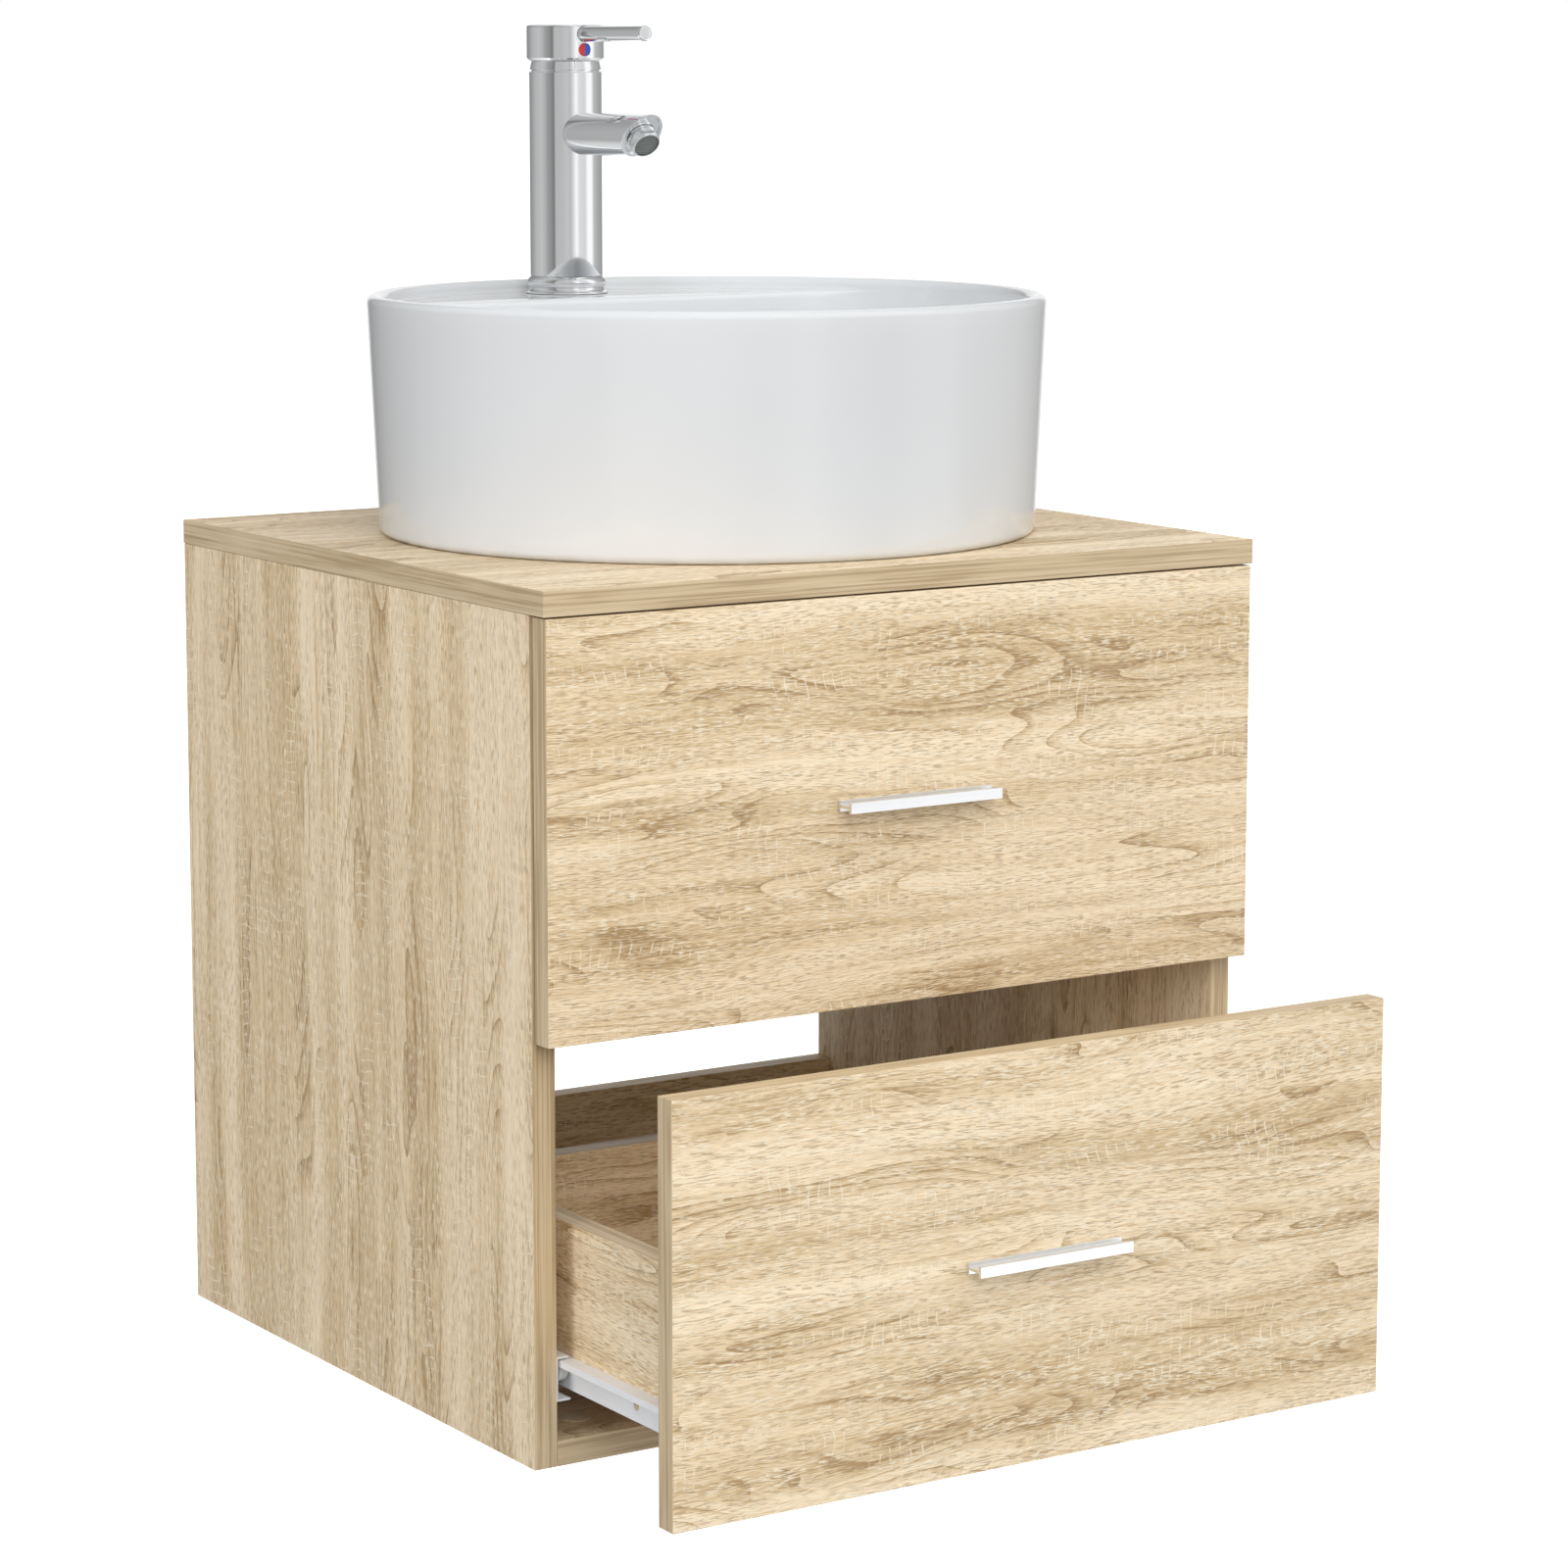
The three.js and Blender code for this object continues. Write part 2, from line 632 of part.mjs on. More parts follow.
const spoutFacing = new THREE.Vector3(0, -Math.cos(spoutAngle), -Math.sin(spoutAngle));

function tapFoot() {
  const bead = tapBodyRadius + 0.6;
  const foot = turned([
    [tapHoleRadius - 1, seam],
    [tapFootRadius, seam],
    [tapFootRadius, 1.4],
    [bead, 7.5],
    ...arc(bead, 9.2, 1.2, -80, 80, 4),
    [bead, tapFootHeight],
    [tapHoleRadius - 1, tapFootHeight],
    [tapHoleRadius - 1, seam],
  ], 32);
  return piece("tap_foot", foot, chrome());
}

function tapBody() {
  const shell = turned([
    [studRadius + clearance, bodyBottom],
    [tapBodyRadius, bodyBottom],
    [tapBodyRadius, bodyTop],
    [cartridgeBore, bodyTop],
    [cartridgeBore, cartridgeBottom - clearance],
    [waterway, cartridgeBottom - clearance],
    [waterway, bodyBottom + baseThickness],
    [studRadius + clearance, bodyBottom + baseThickness],
    [studRadius + clearance, bodyBottom],
  ], 32);
  const spoutHole = bar(spoutBore + 2 + clearance, [0, 0, spoutHeight], [0, -tapBodyRadius - 2, spoutHeight]);
  const inletX = waterway - inletRadius;
  const inlets = [-1, 1].map((side) =>
    bar(inletRadius, [side * inletX, 0, bodyBottom - 1], [side * inletX, 0, bodyBottom + baseThickness + 1], 14));
  return piece("tap_body", cut(shell, spoutHole, ...inlets), chrome());
}

// A round arm coped to the body, with its end cut at a slant and a pocket for the aerator.
function spout() {
  const end = new THREE.Vector3(0, -spoutReach, spoutHeight);
  const tip = spoutReach + spoutRadius;
  const arm = bar(spoutRadius, [0, 0, spoutHeight], [0, -tip, spoutHeight], 32);
  const beyond = end.clone().addScaledVector(spoutFacing, 2 * spoutRadius + 10);
  const slant = bar(4 * spoutRadius, end.toArray(), beyond.toArray(), 8);
  const column = bar(tapBodyRadius + clearance, [0, 0, spoutHeight - 40], [0, 0, spoutHeight + 40], 32);
  const spigotEnd = tapBodyRadius - 4;
  const spigot = bar(spoutBore + 2, [0, -spigotEnd, spoutHeight], [0, -tapBodyRadius - 6, spoutHeight]);
  const pocket = bar(aeratorRadius + clearance, ...aeratorSpan(-aeratorPocket - clearance, spoutRadius), 24);
  const bore = bar(spoutBore, [0, 0, spoutHeight], [0, -spoutReach + aeratorPocket, spoutHeight]);
  return piece("tap_spout", cut(join(cut(arm, slant, column), spigot), pocket, bore), chrome());
}

// Two points on the aerator's axis, given by their distances outside the spout's end face.
function aeratorSpan(from, to) {
  const downFace = new THREE.Vector3(0, Math.sin(spoutAngle), -Math.cos(spoutAngle));
  const middle = new THREE.Vector3(0, -spoutReach, spoutHeight).addScaledVector(downFace, 1.5);
  return [from, to].map((distance) => middle.clone().addScaledVector(spoutFacing, distance).toArray());
}

function aerator() {
  const inner = aeratorRadius - aeratorWall;
  const sleeve = cut(
    bar(aeratorRadius, ...aeratorSpan(-aeratorPocket, aeratorStandOut)),
    bar(inner, ...aeratorSpan(-aeratorPocket - 1, aeratorStandOut + 1)),
  );
  const meshOut = aeratorStandOut - 1;
  return [
    piece("aerator_sleeve", sleeve, chrome()),
    piece("aerator_mesh", bar(inner - clearance, ...aeratorSpan(meshOut - meshThickness, meshOut)), meshGrey()),
  ];
}

// The nut that holds the cartridge: a tapered collar, and a dome that the cap tilts over.
function collar() {
  const spigot = cartridgeBore - clearance;
  const inner = cartridgeRadius + 0.6;
  const startAngle = THREE.MathUtils.radToDeg(Math.atan2(pivotBelowCap, collarTopRadius));
  const endAngle = THREE.MathUtils.radToDeg(Math.asin(domeTop / domeRadius));
  const spigotBottom = bodyTop - 8;
  const solid = turned([
    [inner, spigotBottom],
    [spigot, spigotBottom],
    [spigot, bodyTop + seam],
    [tapBodyRadius - 0.2, bodyTop + seam],
    ...arc(0, pivotZ, domeRadius, startAngle, endAngle, 4),
    [stemOpening, pivotZ + domeTop],
    [stemOpening, pivotZ + domeTop - 2],
    [inner, pivotZ + domeTop - 3],
    [inner, spigotBottom],
  ], 32);
  return piece("tap_collar", solid, chrome());
}

function cartridge() {
  const top = pivotZ + cartridgeTopAbovePivot;
  const body = turned([
    [0, cartridgeBottom],
    [cartridgeRadius, cartridgeBottom],
    [cartridgeRadius, top],
    [10.5, top],
    [7.5, pivotZ - 7],
    [0, pivotZ - 7],
  ], 28);
  return piece("tap_cartridge", body, whitePlastic());
}

// A slotted disc that turns with the stem and lets it tilt only forwards and back.
function guideDisc() {
  const low = pivotZ + cartridgeTopAbovePivot + 2 * clearance;
  const disc = bar(cartridgeRadius - 0.4, [0, 0, low], [0, 0, low + 2.5], 28);
  const halfSlot = stemSide / 2 + clearance;
  const slot = block([-halfSlot, halfSlot], [-halfSlot - 0.6, cartridgeRadius - 4.5], [low - 1, low + 4]);
  return piece("tap_guide_disc", cut(disc, slot), brass());
}

const capTop = capBottom + capHeight;
const capCeiling = pivotZ + domeRadius + 0.5;
const socketDepth = 5.5;
const leverZ = capTop - leverBelowCapTop;
const leverRoot = 14; // the lever's inner end, before the tap's axis

function stem() {
  const half = stemSide / 2;
  const ball = new THREE.SphereGeometry(5, 16, 10).translate(0, 0, pivotZ);
  const post = block([-half, half], [-half, half], [pivotZ, capCeiling + socketDepth - clearance]);
  return piece("tap_stem", join(ball, post), brass());
}

function cap() {
  const inner = capRadius - capWall;
  const shell = turned([
    [0, capCeiling],
    [inner, capCeiling],
    [inner, capBottom],
    [capRadius - 0.8, capBottom],
    [capRadius, capBottom + 0.8],
    [capRadius, capTop - 0.8],
    [capRadius - 0.8, capTop],
    [0, capTop],
  ], 32);
  const half = stemSide / 2 + clearance;
  const socket = block([-half, half], [-half, half], [capCeiling - 1, capCeiling + socketDepth]);
  const leverHole = bar(leverRadius + 0.2, [0, -leverRoot + clearance, leverZ], [0, -capRadius - 1, leverZ]);
  const dotZ = capTop - indicatorBelowCapTop;
  const recess = bar(indicatorRadius + 0.2, [0, -capRadius + indicatorThickness, dotZ], [0, -capRadius - 1, dotZ], 20);
  return piece("handle_cap", cut(shell, socket, leverHole, recess), chrome());
}

function lever() {
  return piece("handle_lever", bar(leverRadius, [0, -leverReach, leverZ], [0, -leverRoot, leverZ], 28), chrome());
}

// Half of the round hot and cold mark.
function indicator(name, side, material) {
  const z = capTop - indicatorBelowCapTop;
  const back = -capRadius + indicatorThickness - 0.1;
  const disc = bar(indicatorRadius, [0, back, z], [0, back - indicatorThickness, z], 20);
  const xs = [side * 0.05, side * -indicatorRadius * 2].sort((a, b) => a - b);
  const other = block(xs, [-capRadius - 2, -capRadius + 2], [z - 2 * indicatorRadius, z + 2 * indicatorRadius]);
  return piece(name, cut(disc, other), material);
}

function tapFixings() {
  const underDeck = -deckThickness - seam;
  const nutTop = underDeck - 3 - seam;
  const studTop = bodyBottom + baseThickness - 2;
  return [
    piece("tap_stud", bar(studRadius, [0, 0, studTop - studLength], [0, 0, studTop], 16), brass()),
    piece("tap_washer", ring(studRadius + clearance, 23, underDeck - 3, underDeck, 24), zincSteel()),
    piece("tap_nut", nut(studRadius + clearance, 8, 6, nutTop - 8, nutTop), brass()),
  ];
}

// Assembly ---------------------------------------------------------------------------------------

const cabinet = assembly(
  [0, 0, 0],
  worktop(),
  sidePanel("left_side_panel", -1),
  sidePanel("right_side_panel", 1),
  bottomPanel(),
  backRail("lower_back_rail", panelThickness + seam, false),
  backRail("upper_back_rail", worktopUnderside - seam - backRailHeight, true),
  hanger("left_wall_hanger", -1),
  hanger("right_wall_hanger", 1),
  camCover("left_cam_cover", -1),
  camCover("right_cam_cover", 1),
  ...cabinetRunners("upper", upperFrontBottom),
  ...cabinetRunners("lower", frontBottomReveal),
);

const waste = assembly([0, wasteY, basinBottom + bowlFloorZ], wasteBody(), wastePlug(), ...wasteFittings());

const tap = assembly(
  [0, tapY, basinBottom + deckHeight],
  tapFoot(),
  tapBody(),
  spout(),
  ...aerator(),
  collar(),
  cartridge(),
  ...tapFixings(),
  guideDisc(),
  assembly([0, 0, 0], stem(), cap(), lever(), indicator("hot_mark", -1, hotRed()), indicator("cold_mark", 1, coldBlue())),
);

const frontmost = -lowerDrawerOpening - handleProjection;
const model = assembly(
  [0, -(frontmost + depth) / 2, 0],
  cabinet,
  drawer("upper_drawer", [0, 0, upperFrontBottom]),
  drawer("lower_drawer", [0, -lowerDrawerOpening, frontBottomReveal]),
  basin(),
  waste,
  tap,
);

const group = new THREE.Group();
group.add(model);

export default group;
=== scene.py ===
import json
import math

import bmesh
import bpy
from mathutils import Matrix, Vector

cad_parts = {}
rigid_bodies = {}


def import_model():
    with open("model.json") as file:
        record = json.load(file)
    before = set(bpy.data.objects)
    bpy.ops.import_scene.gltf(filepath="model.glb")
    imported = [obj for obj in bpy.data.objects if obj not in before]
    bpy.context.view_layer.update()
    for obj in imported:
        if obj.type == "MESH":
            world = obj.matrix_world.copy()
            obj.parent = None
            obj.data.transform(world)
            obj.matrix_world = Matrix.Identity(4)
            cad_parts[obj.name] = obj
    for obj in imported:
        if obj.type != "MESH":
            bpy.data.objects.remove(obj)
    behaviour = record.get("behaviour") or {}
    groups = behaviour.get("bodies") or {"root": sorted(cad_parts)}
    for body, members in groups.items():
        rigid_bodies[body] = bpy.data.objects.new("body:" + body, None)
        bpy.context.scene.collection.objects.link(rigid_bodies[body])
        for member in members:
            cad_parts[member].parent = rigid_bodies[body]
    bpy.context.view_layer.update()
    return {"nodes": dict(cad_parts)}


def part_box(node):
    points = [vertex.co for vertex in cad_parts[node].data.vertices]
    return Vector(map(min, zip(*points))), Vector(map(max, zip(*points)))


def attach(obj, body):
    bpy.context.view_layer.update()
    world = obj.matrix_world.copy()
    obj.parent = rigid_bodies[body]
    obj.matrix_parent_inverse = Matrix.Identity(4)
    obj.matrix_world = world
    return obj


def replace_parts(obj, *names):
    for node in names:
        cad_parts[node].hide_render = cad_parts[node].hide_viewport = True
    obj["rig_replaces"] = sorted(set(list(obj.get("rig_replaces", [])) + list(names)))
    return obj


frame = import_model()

mm = 0.001
print("frame loaded:", len(frame["nodes"]), "nodes")


# small helpers: selecting, starting, shaping and finishing a piece

def clearSelection():
    if bpy.context.object and bpy.context.object.mode != "OBJECT":
        bpy.ops.object.mode_set(mode="OBJECT")
    bpy.ops.object.select_all(action="DESELECT")


def makeActive(item):
    clearSelection()
    item.select_set(True)
    bpy.context.view_layer.objects.active = item


def nameNew(name):
    item = bpy.context.object
    item.name = item.data.name = name
    bpy.ops.object.transform_apply(location=True, rotation=True, scale=True)
    return item


def pick(item, kind, test):
    # edit mode, with only what passes the test selected: test(middle, normal) for a face or a
    # vertex, test(middle, direction) for an edge
    makeActive(item)
    bpy.ops.object.mode_set(mode="EDIT")
    bpy.ops.mesh.select_mode(type=kind)
    bpy.ops.mesh.select_all(action="DESELECT")
    shape = bmesh.from_edit_mesh(item.data)
    if kind == "FACE":
        for face in shape.faces:
            face.select_set(bool(test(face.calc_center_median(), face.normal)))
    elif kind == "EDGE":
        for edge in shape.edges:
            start, end = edge.verts[0].co, edge.verts[1].co
            edge.select_set(bool(test((start + end) / 2, (end - start).normalized())))
    else:
        for corner in shape.verts:
            corner.select_set(bool(test(corner.co, corner.normal)))
    shape.select_flush_mode()
    bmesh.update_edit_mesh(item.data)


def addBlock(name, low, high):
    clearSelection()
    size = [b - a for a, b in zip(low, high)]
    middle = [(a + b) / 2 for a, b in zip(low, high)]
    bpy.ops.mesh.primitive_cube_add(size=1, location=middle, scale=size)
    return nameNew(name)


def addRound(name, start, end, radius, steps=48):
    clearSelection()
    start, end = Vector(start), Vector(end)
    turn = (end - start).to_track_quat("Z", "Y").to_euler()
    bpy.ops.mesh.primitive_cylinder_add(vertices=steps, radius=radius, depth=(end - start).length,
                                        location=(start + end) / 2, rotation=turn)
    return nameNew(name)


def traceLine(name, points):
    # a plane pulled together to one vertex, then drawn out from point to point
    clearSelection()
    bpy.ops.mesh.primitive_plane_add(size=mm, location=points[0])
    item = nameNew(name)
    bpy.ops.object.mode_set(mode="EDIT")
    bpy.ops.mesh.select_mode(type="VERT")
    bpy.ops.mesh.select_all(action="SELECT")
    bpy.ops.mesh.merge(type="CENTER")
    for last, point in zip(points, points[1:]):
        step = Vector(point) - Vector(last)
        bpy.ops.mesh.extrude_vertices_move(TRANSFORM_OT_translate={"value": step})
    return item


def closeShape():
    bpy.ops.mesh.select_all(action="SELECT")
    bpy.ops.mesh.remove_doubles(threshold=2e-6)
    bpy.ops.mesh.normals_make_consistent(inside=False)
    bpy.ops.object.mode_set(mode="OBJECT")


def turnedPiece(name, profile, centre, axis=(0, 0, 1), steps=96):
    # profile of (radius, height) in mm, spun about an axis through centre
    axis = Vector(axis).normalized()
    side = Vector((0, 0, 1)) if abs(axis.x) > 0.9 else Vector((1, 0, 0))
    points = [Vector(centre) + side * radius * mm + axis * height * mm
              for radius, height in profile]
    item = traceLine(name, points)
    bpy.ops.mesh.select_all(action="SELECT")
    bpy.ops.mesh.spin(steps=steps, angle=2 * math.pi, center=centre, axis=axis)
    closeShape()
    return item


def drawnPiece(name, outline, stretch):
    # a closed outline, filled and drawn out
    item = traceLine(name, outline + outline[:1])
    bpy.ops.mesh.select_all(action="SELECT")
    bpy.ops.mesh.remove_doubles(threshold=2e-6)
    bpy.ops.mesh.edge_face_add()
    bpy.ops.mesh.extrude_region_move(TRANSFORM_OT_translate={"value": stretch})
    closeShape()
    return item


def applyModifier(item, kind, **settings):
    makeActive(item)
    modifier = item.modifiers.new("step", kind)
    for key, value in settings.items():
        setattr(modifier, key, value)
    bpy.ops.object.modifier_apply(modifier=modifier.name)


def roundEdges(item, width, segments=3, angle=35):
    applyModifier(item, "BEVEL", width=width * mm, segments=segments, limit_method="ANGLE",
                  angle_limit=math.radians(angle))


def cutAway(item, *cutters):
    for cutter in cutters:
        applyModifier(item, "BOOLEAN", object=cutter, operation="DIFFERENCE", solver="MANIFOLD")
        bpy.data.objects.remove(cutter, do_unlink=True)


def smoothen(item, angle=35):
    makeActive(item)
    bpy.ops.object.shade_smooth_by_angle(angle=math.radians(angle))
    applyModifier(item, "WEIGHTED_NORMAL", keep_sharp=True)


def finishPiece(item, body, replaced=(), finish=None):
    clearSelection()
    if finish:
        item.data.materials.clear()
        item.data.materials.append(finish)
    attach(item, body)
    if replaced:
        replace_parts(item, *([replaced] if isinstance(replaced, str) else replaced))
    return item


def copyPiece(item, name, shift, body, replaced=()):
    # the same piece again elsewhere, with its own mesh
    makeActive(item)
    bpy.ops.object.duplicate(linked=False)
    bpy.ops.object.parent_clear(type="CLEAR_KEEP_TRANSFORM")
    bpy.ops.transform.translate(value=shift)
    copy = nameNew(name)
    if "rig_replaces" in copy:
        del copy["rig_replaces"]
    return finishPiece(copy, body, replaced)


def between(first, second):
    # how far one node lies from another of the same shape
    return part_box(second)[0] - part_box(first)[0]


def arcPoints(centreR, centreZ, radius, start, end, steps):
    angles = [math.radians(start + (end - start) * i / steps) for i in range(steps + 1)]
    return [(centreR + radius * math.cos(a), centreZ + radius * math.sin(a)) for a in angles]


# materials

def shade(code):
    # sRGB hex to the linear colour that the shaders take
    parts = [int(code[i:i + 2], 16) / 255 for i in (0, 2, 4)]
    return (*[p / 12.92 if p <= 0.04045 else ((p + 0.055) / 1.055) ** 2.4 for p in parts], 1.0)


def addNode(tree, kind, settings=None, links=None):
    node = tree.nodes.new("ShaderNode" + kind)
    for key, value in (settings or {}).items():
        if key == "stops":
            elements = node.color_ramp.elements
            elements[0].position, elements[1].position = value[0][0], value[-1][0]
            for position, colour in value[1:-1]:
                elements.new(position)
            for element, (position, colour) in zip(elements, value):
                element.color = shade(colour) if isinstance(colour, str) else (colour,) * 3 + (1,)
        elif isinstance(key, int) or key in node.inputs:
            node.inputs[key].default_value = value
        else:
            setattr(node, key, value)
    for key, source in (links or {}).items():
        if isinstance(source, bpy.types.Node):
            source = source.outputs[2 if source.bl_idname == "ShaderNodeMix" else 0]
        tree.links.new(source, node.inputs[key])
    return node


def startMaterial(name, turn=(0, 0, 0), shift=(0, 0, 0), **settings):
    # a material with its surface shader, and the object's own coordinates in mm
    material = bpy.data.materials.new(name)
    material.use_nodes = True
    tree = material.node_tree
    tree.nodes.clear()
    surface = addNode(tree, "BsdfPrincipled",
                      {key.replace("_", " "): value for key, value in settings.items()})
    addNode(tree, "OutputMaterial", {}, {"Surface": surface})
    place = addNode(tree, "Mapping", {"Scale": (1000, 1000, 1000), "Rotation": turn,
                                      "Location": shift},
                    {"Vector": addNode(tree, "TexCoord").outputs["Object"]})
    return material, tree, surface, place


def dress(tree, surface, colour, relief, gloss):
    # what a finish comes to: its colour, its relief and its roughness
    for name, source in (("Base Color", colour), ("Normal", relief), ("Roughness", gloss)):
        tree.links.new(source, surface.inputs[name])


def layer(tree, source, size, detail=2.0, low=0.32, high=0.68, seed=0.0, rough=0.5):
    # soft random pattern with grains of the given size in mm on x, y and z, spread to 0..1
    scaled = addNode(tree, "VectorMath", {"operation": "MULTIPLY_ADD", 1: [1 / s for s in size],
                                          2: (seed, seed * 1.7, seed * 0.6)}, {0: source})
    grain = addNode(tree, "TexNoise", {"Scale": 1.0, "Detail": detail, "Roughness": rough},
                    {"Vector": scaled})
    return addNode(tree, "MapRange", {1: low, 2: high}, {0: grain.outputs[0]})


quarter = math.pi / 2
# how a board's pattern lies: x runs along the grain, y across it, z through the board
grainTurns = {"flat": (0, 0, 0), "front": (-quarter, 0, 0), "upright": (0, quarter, 0),
              "lengthwise": (quarter, quarter, 0)}

oakPaper = {
    "light": "fdeac9", "middle": "eed6b1", "deep": "d6bc92", "darkest": "b09268",
    # the second pale colour here is a painted highlight for the glints on the embossed dashes
    "pore": "9c7f55", "tick": "fbeed4", "saw": "fbefd8",
    "ringPitch": 24,  # mm between growth rings where the grain is straight
    "sawPitch": 6.8,  # mm between the marks of the saw
    "relief": 0.16,  # mm, depth of the embossed pores
    "ringShare": 0.62, "toneShare": 0.42, "streakShare": 0.26, "fibreShare": 0.30,
    # the second share here sets how strongly the painted highlight dashes show
    "poreShare": 0.58, "tickShare": 0.74, "sawShare": 0.62,
}


def oakMelamine(name, turn, shift):
    # melamine-faced chipboard: printed light oak paper pressed under an embossed resin plate, so a
    # mat sheet with fine dashes, growth rings and pale saw marks; the pale dashes are a painted
    # highlight standing in for the light the embossing catches
    p = oakPaper
    material, tree, surface, sheet = startMaterial(name, grainTurns[turn], shift, Roughness=0.5,
                                                   IOR=1.5)
    slow = addNode(tree, "VectorMath", {"operation": "MULTIPLY", 1: (1 / 380, 1 / 110, 1 / 110)},
                   {0: sheet})
    sway = addNode(tree, "TexNoise", {"Scale": 1.0, "Detail": 1.5}, {"Vector": slow})
    swayed = addNode(tree, "VectorMath", {"operation": "MULTIPLY_ADD", 1: (0, 34, 0)},
                     {0: sway.outputs["Color"], 2: sheet})
    quick = addNode(tree, "VectorMath", {"operation": "MULTIPLY", 1: (1 / 30, 1 / 9, 1 / 9)},
                    {0: swayed})
    ripple = addNode(tree, "TexNoise", {"Scale": 1.0, "Detail": 1.0}, {"Vector": quick})
    grain = addNode(tree, "VectorMath", {"operation": "MULTIPLY_ADD", 1: (0, 2.2, 0)},
                    {0: ripple.outputs["Color"], 2: swayed})
    across = addNode(tree, "SeparateXYZ", {}, {0: grain}).outputs[1]
    along = addNode(tree, "SeparateXYZ", {}, {0: sheet}).outputs[0]

    # growth rings in patches, each with one crisp edge, over long bands and streaks
    figure = layer(tree, grain, (250, 44, 44), 1.0, 0.2, 0.8, 3.1)
    straightRings = addNode(tree, "Math", {"operation": "DIVIDE", 1: p["ringPitch"]}, {0: across})
    phase = addNode(tree, "Math", {"operation": "MULTIPLY_ADD", 1: 9.0},
                    {0: figure, 2: straightRings})
    saw = addNode(tree, "Math", {"operation": "FRACT"}, {0: phase})
    ring = addNode(tree, "ValToRGB", {"stops": [
        (0, 0.0), (0.04, 0.0), (0.5, 0.08), (0.8, 0.42), (0.94, 0.75), (0.97, 1.0), (1, 1.0)]},
        {0: saw})
    ringMask = layer(tree, sheet, (170, 34, 34), 1.0, 0.50, 0.58, 7.7)
    rings = addNode(tree, "Math", {"operation": "MULTIPLY"}, {0: ring, 1: ringMask})
    tone = layer(tree, grain, (560, 28, 40), 2.0, 0.38, 0.62, 1.3)
    streak = layer(tree, grain, (120, 2.6, 6), 2.0, 0.32, 0.68, 5.9, 0.6)
    fibre = layer(tree, grain, (17, 0.85, 1.7), 2.0, 0.34, 0.66, 9.2, 0.6)
    dark = addNode(tree, "Math", {"operation": "MULTIPLY", 1: p["ringShare"]}, {0: rings})
    for share, part in (("tone", tone), ("streak", streak), ("fibre", fibre)):
        dark = addNode(tree, "Math", {"operation": "MULTIPLY_ADD", 1: p[share + "Share"]},
                       {0: part, 2: dark})
    colour = addNode(tree, "ValToRGB", {"stops": [
        (0.16, p["light"]), (0.44, p["middle"]), (0.76, p["deep"]), (1.0, p["darkest"])]},
        {0: dark})

    # dashes: dark pores, and pale dashes that are painted highlights, 3 to 6 mm long and under 1
    # mm wide
    dashes = []
    for size, mask, low, seed in (((7.5, 0.7, 1.4), (90, 7, 14), 0.54, 2.4),
                                  ((6.5, 0.65, 1.3), (60, 9, 18), 0.54, 11.6)):
        dash = layer(tree, grain, size, 0.5, low, low + 0.07, seed)
        patch = layer(tree, grain, mask, 2.0, 0.33, 0.58, seed + 4)
        shown = addNode(tree, "Math", {"operation": "MULTIPLY_ADD", 1: 0.75, 2: 0.25}, {0: patch})
        dashes.append(addNode(tree, "Math", {"operation": "MULTIPLY"}, {0: dash, 1: shown}))
    pores, paintedHighlights = dashes

    # saw marks: pale lines across the grain, in patches
    bend = layer(tree, sheet, (60, 28, 28), 1.0, 0.2, 0.8, 4.4)
    evenly = addNode(tree, "Math", {"operation": "DIVIDE", 1: p["sawPitch"]}, {0: along})
    bent = addNode(tree, "Math", {"operation": "MULTIPLY_ADD", 1: 1.5}, {0: bend, 2: evenly})
    tooth = addNode(tree, "Math", {"operation": "FRACT"}, {0: bent})
    line = addNode(tree, "ValToRGB", {"stops": [
        (0.40, 0.0), (0.46, 1.0), (0.54, 1.0), (0.60, 0.0)]}, {0: tooth})
    patch = layer(tree, sheet, (66, 16, 16), 1.5, 0.54, 0.64, 15.5)
    broken = layer(tree, sheet, (9, 4, 4), 1.0, 0.38, 0.52, 8.8)
    kept = addNode(tree, "Math", {"operation": "MULTIPLY"}, {0: patch, 1: broken})
    saws = addNode(tree, "Math", {"operation": "MULTIPLY"}, {0: line, 1: kept})

    # pores and saw marks are print; the pale dashes mix in as painted highlight colour
    for part, tint in ((pores, "pore"), (paintedHighlights, "tick"), (saws, "saw")):
        amount = addNode(tree, "Math", {"operation": "MULTIPLY", 1: p[tint + "Share"]}, {0: part})
        colour = addNode(tree, "Mix", {"data_type": "RGBA", 7: shade(p[tint])},
                         {0: amount, 6: colour})
    raised = addNode(tree, "Math", {"operation": "ADD"}, {0: paintedHighlights, 1: saws})
    uneven = addNode(tree, "Math", {"operation": "SUBTRACT"}, {0: raised, 1: pores})
    height = addNode(tree, "Math", {"operation": "MULTIPLY_ADD", 1: 0.35}, {0: fibre, 2: uneven})
    relief = addNode(tree, "Bump", {"Strength": 0.7, "Distance": p["relief"] * mm},
                     {"Height": height})
    gloss = addNode(tree, "MapRange", {3: 0.47, 4: 0.60}, {0: dark})
    dress(tree, surface, colour.outputs[2], relief.outputs[0], gloss.outputs[0])
    return material


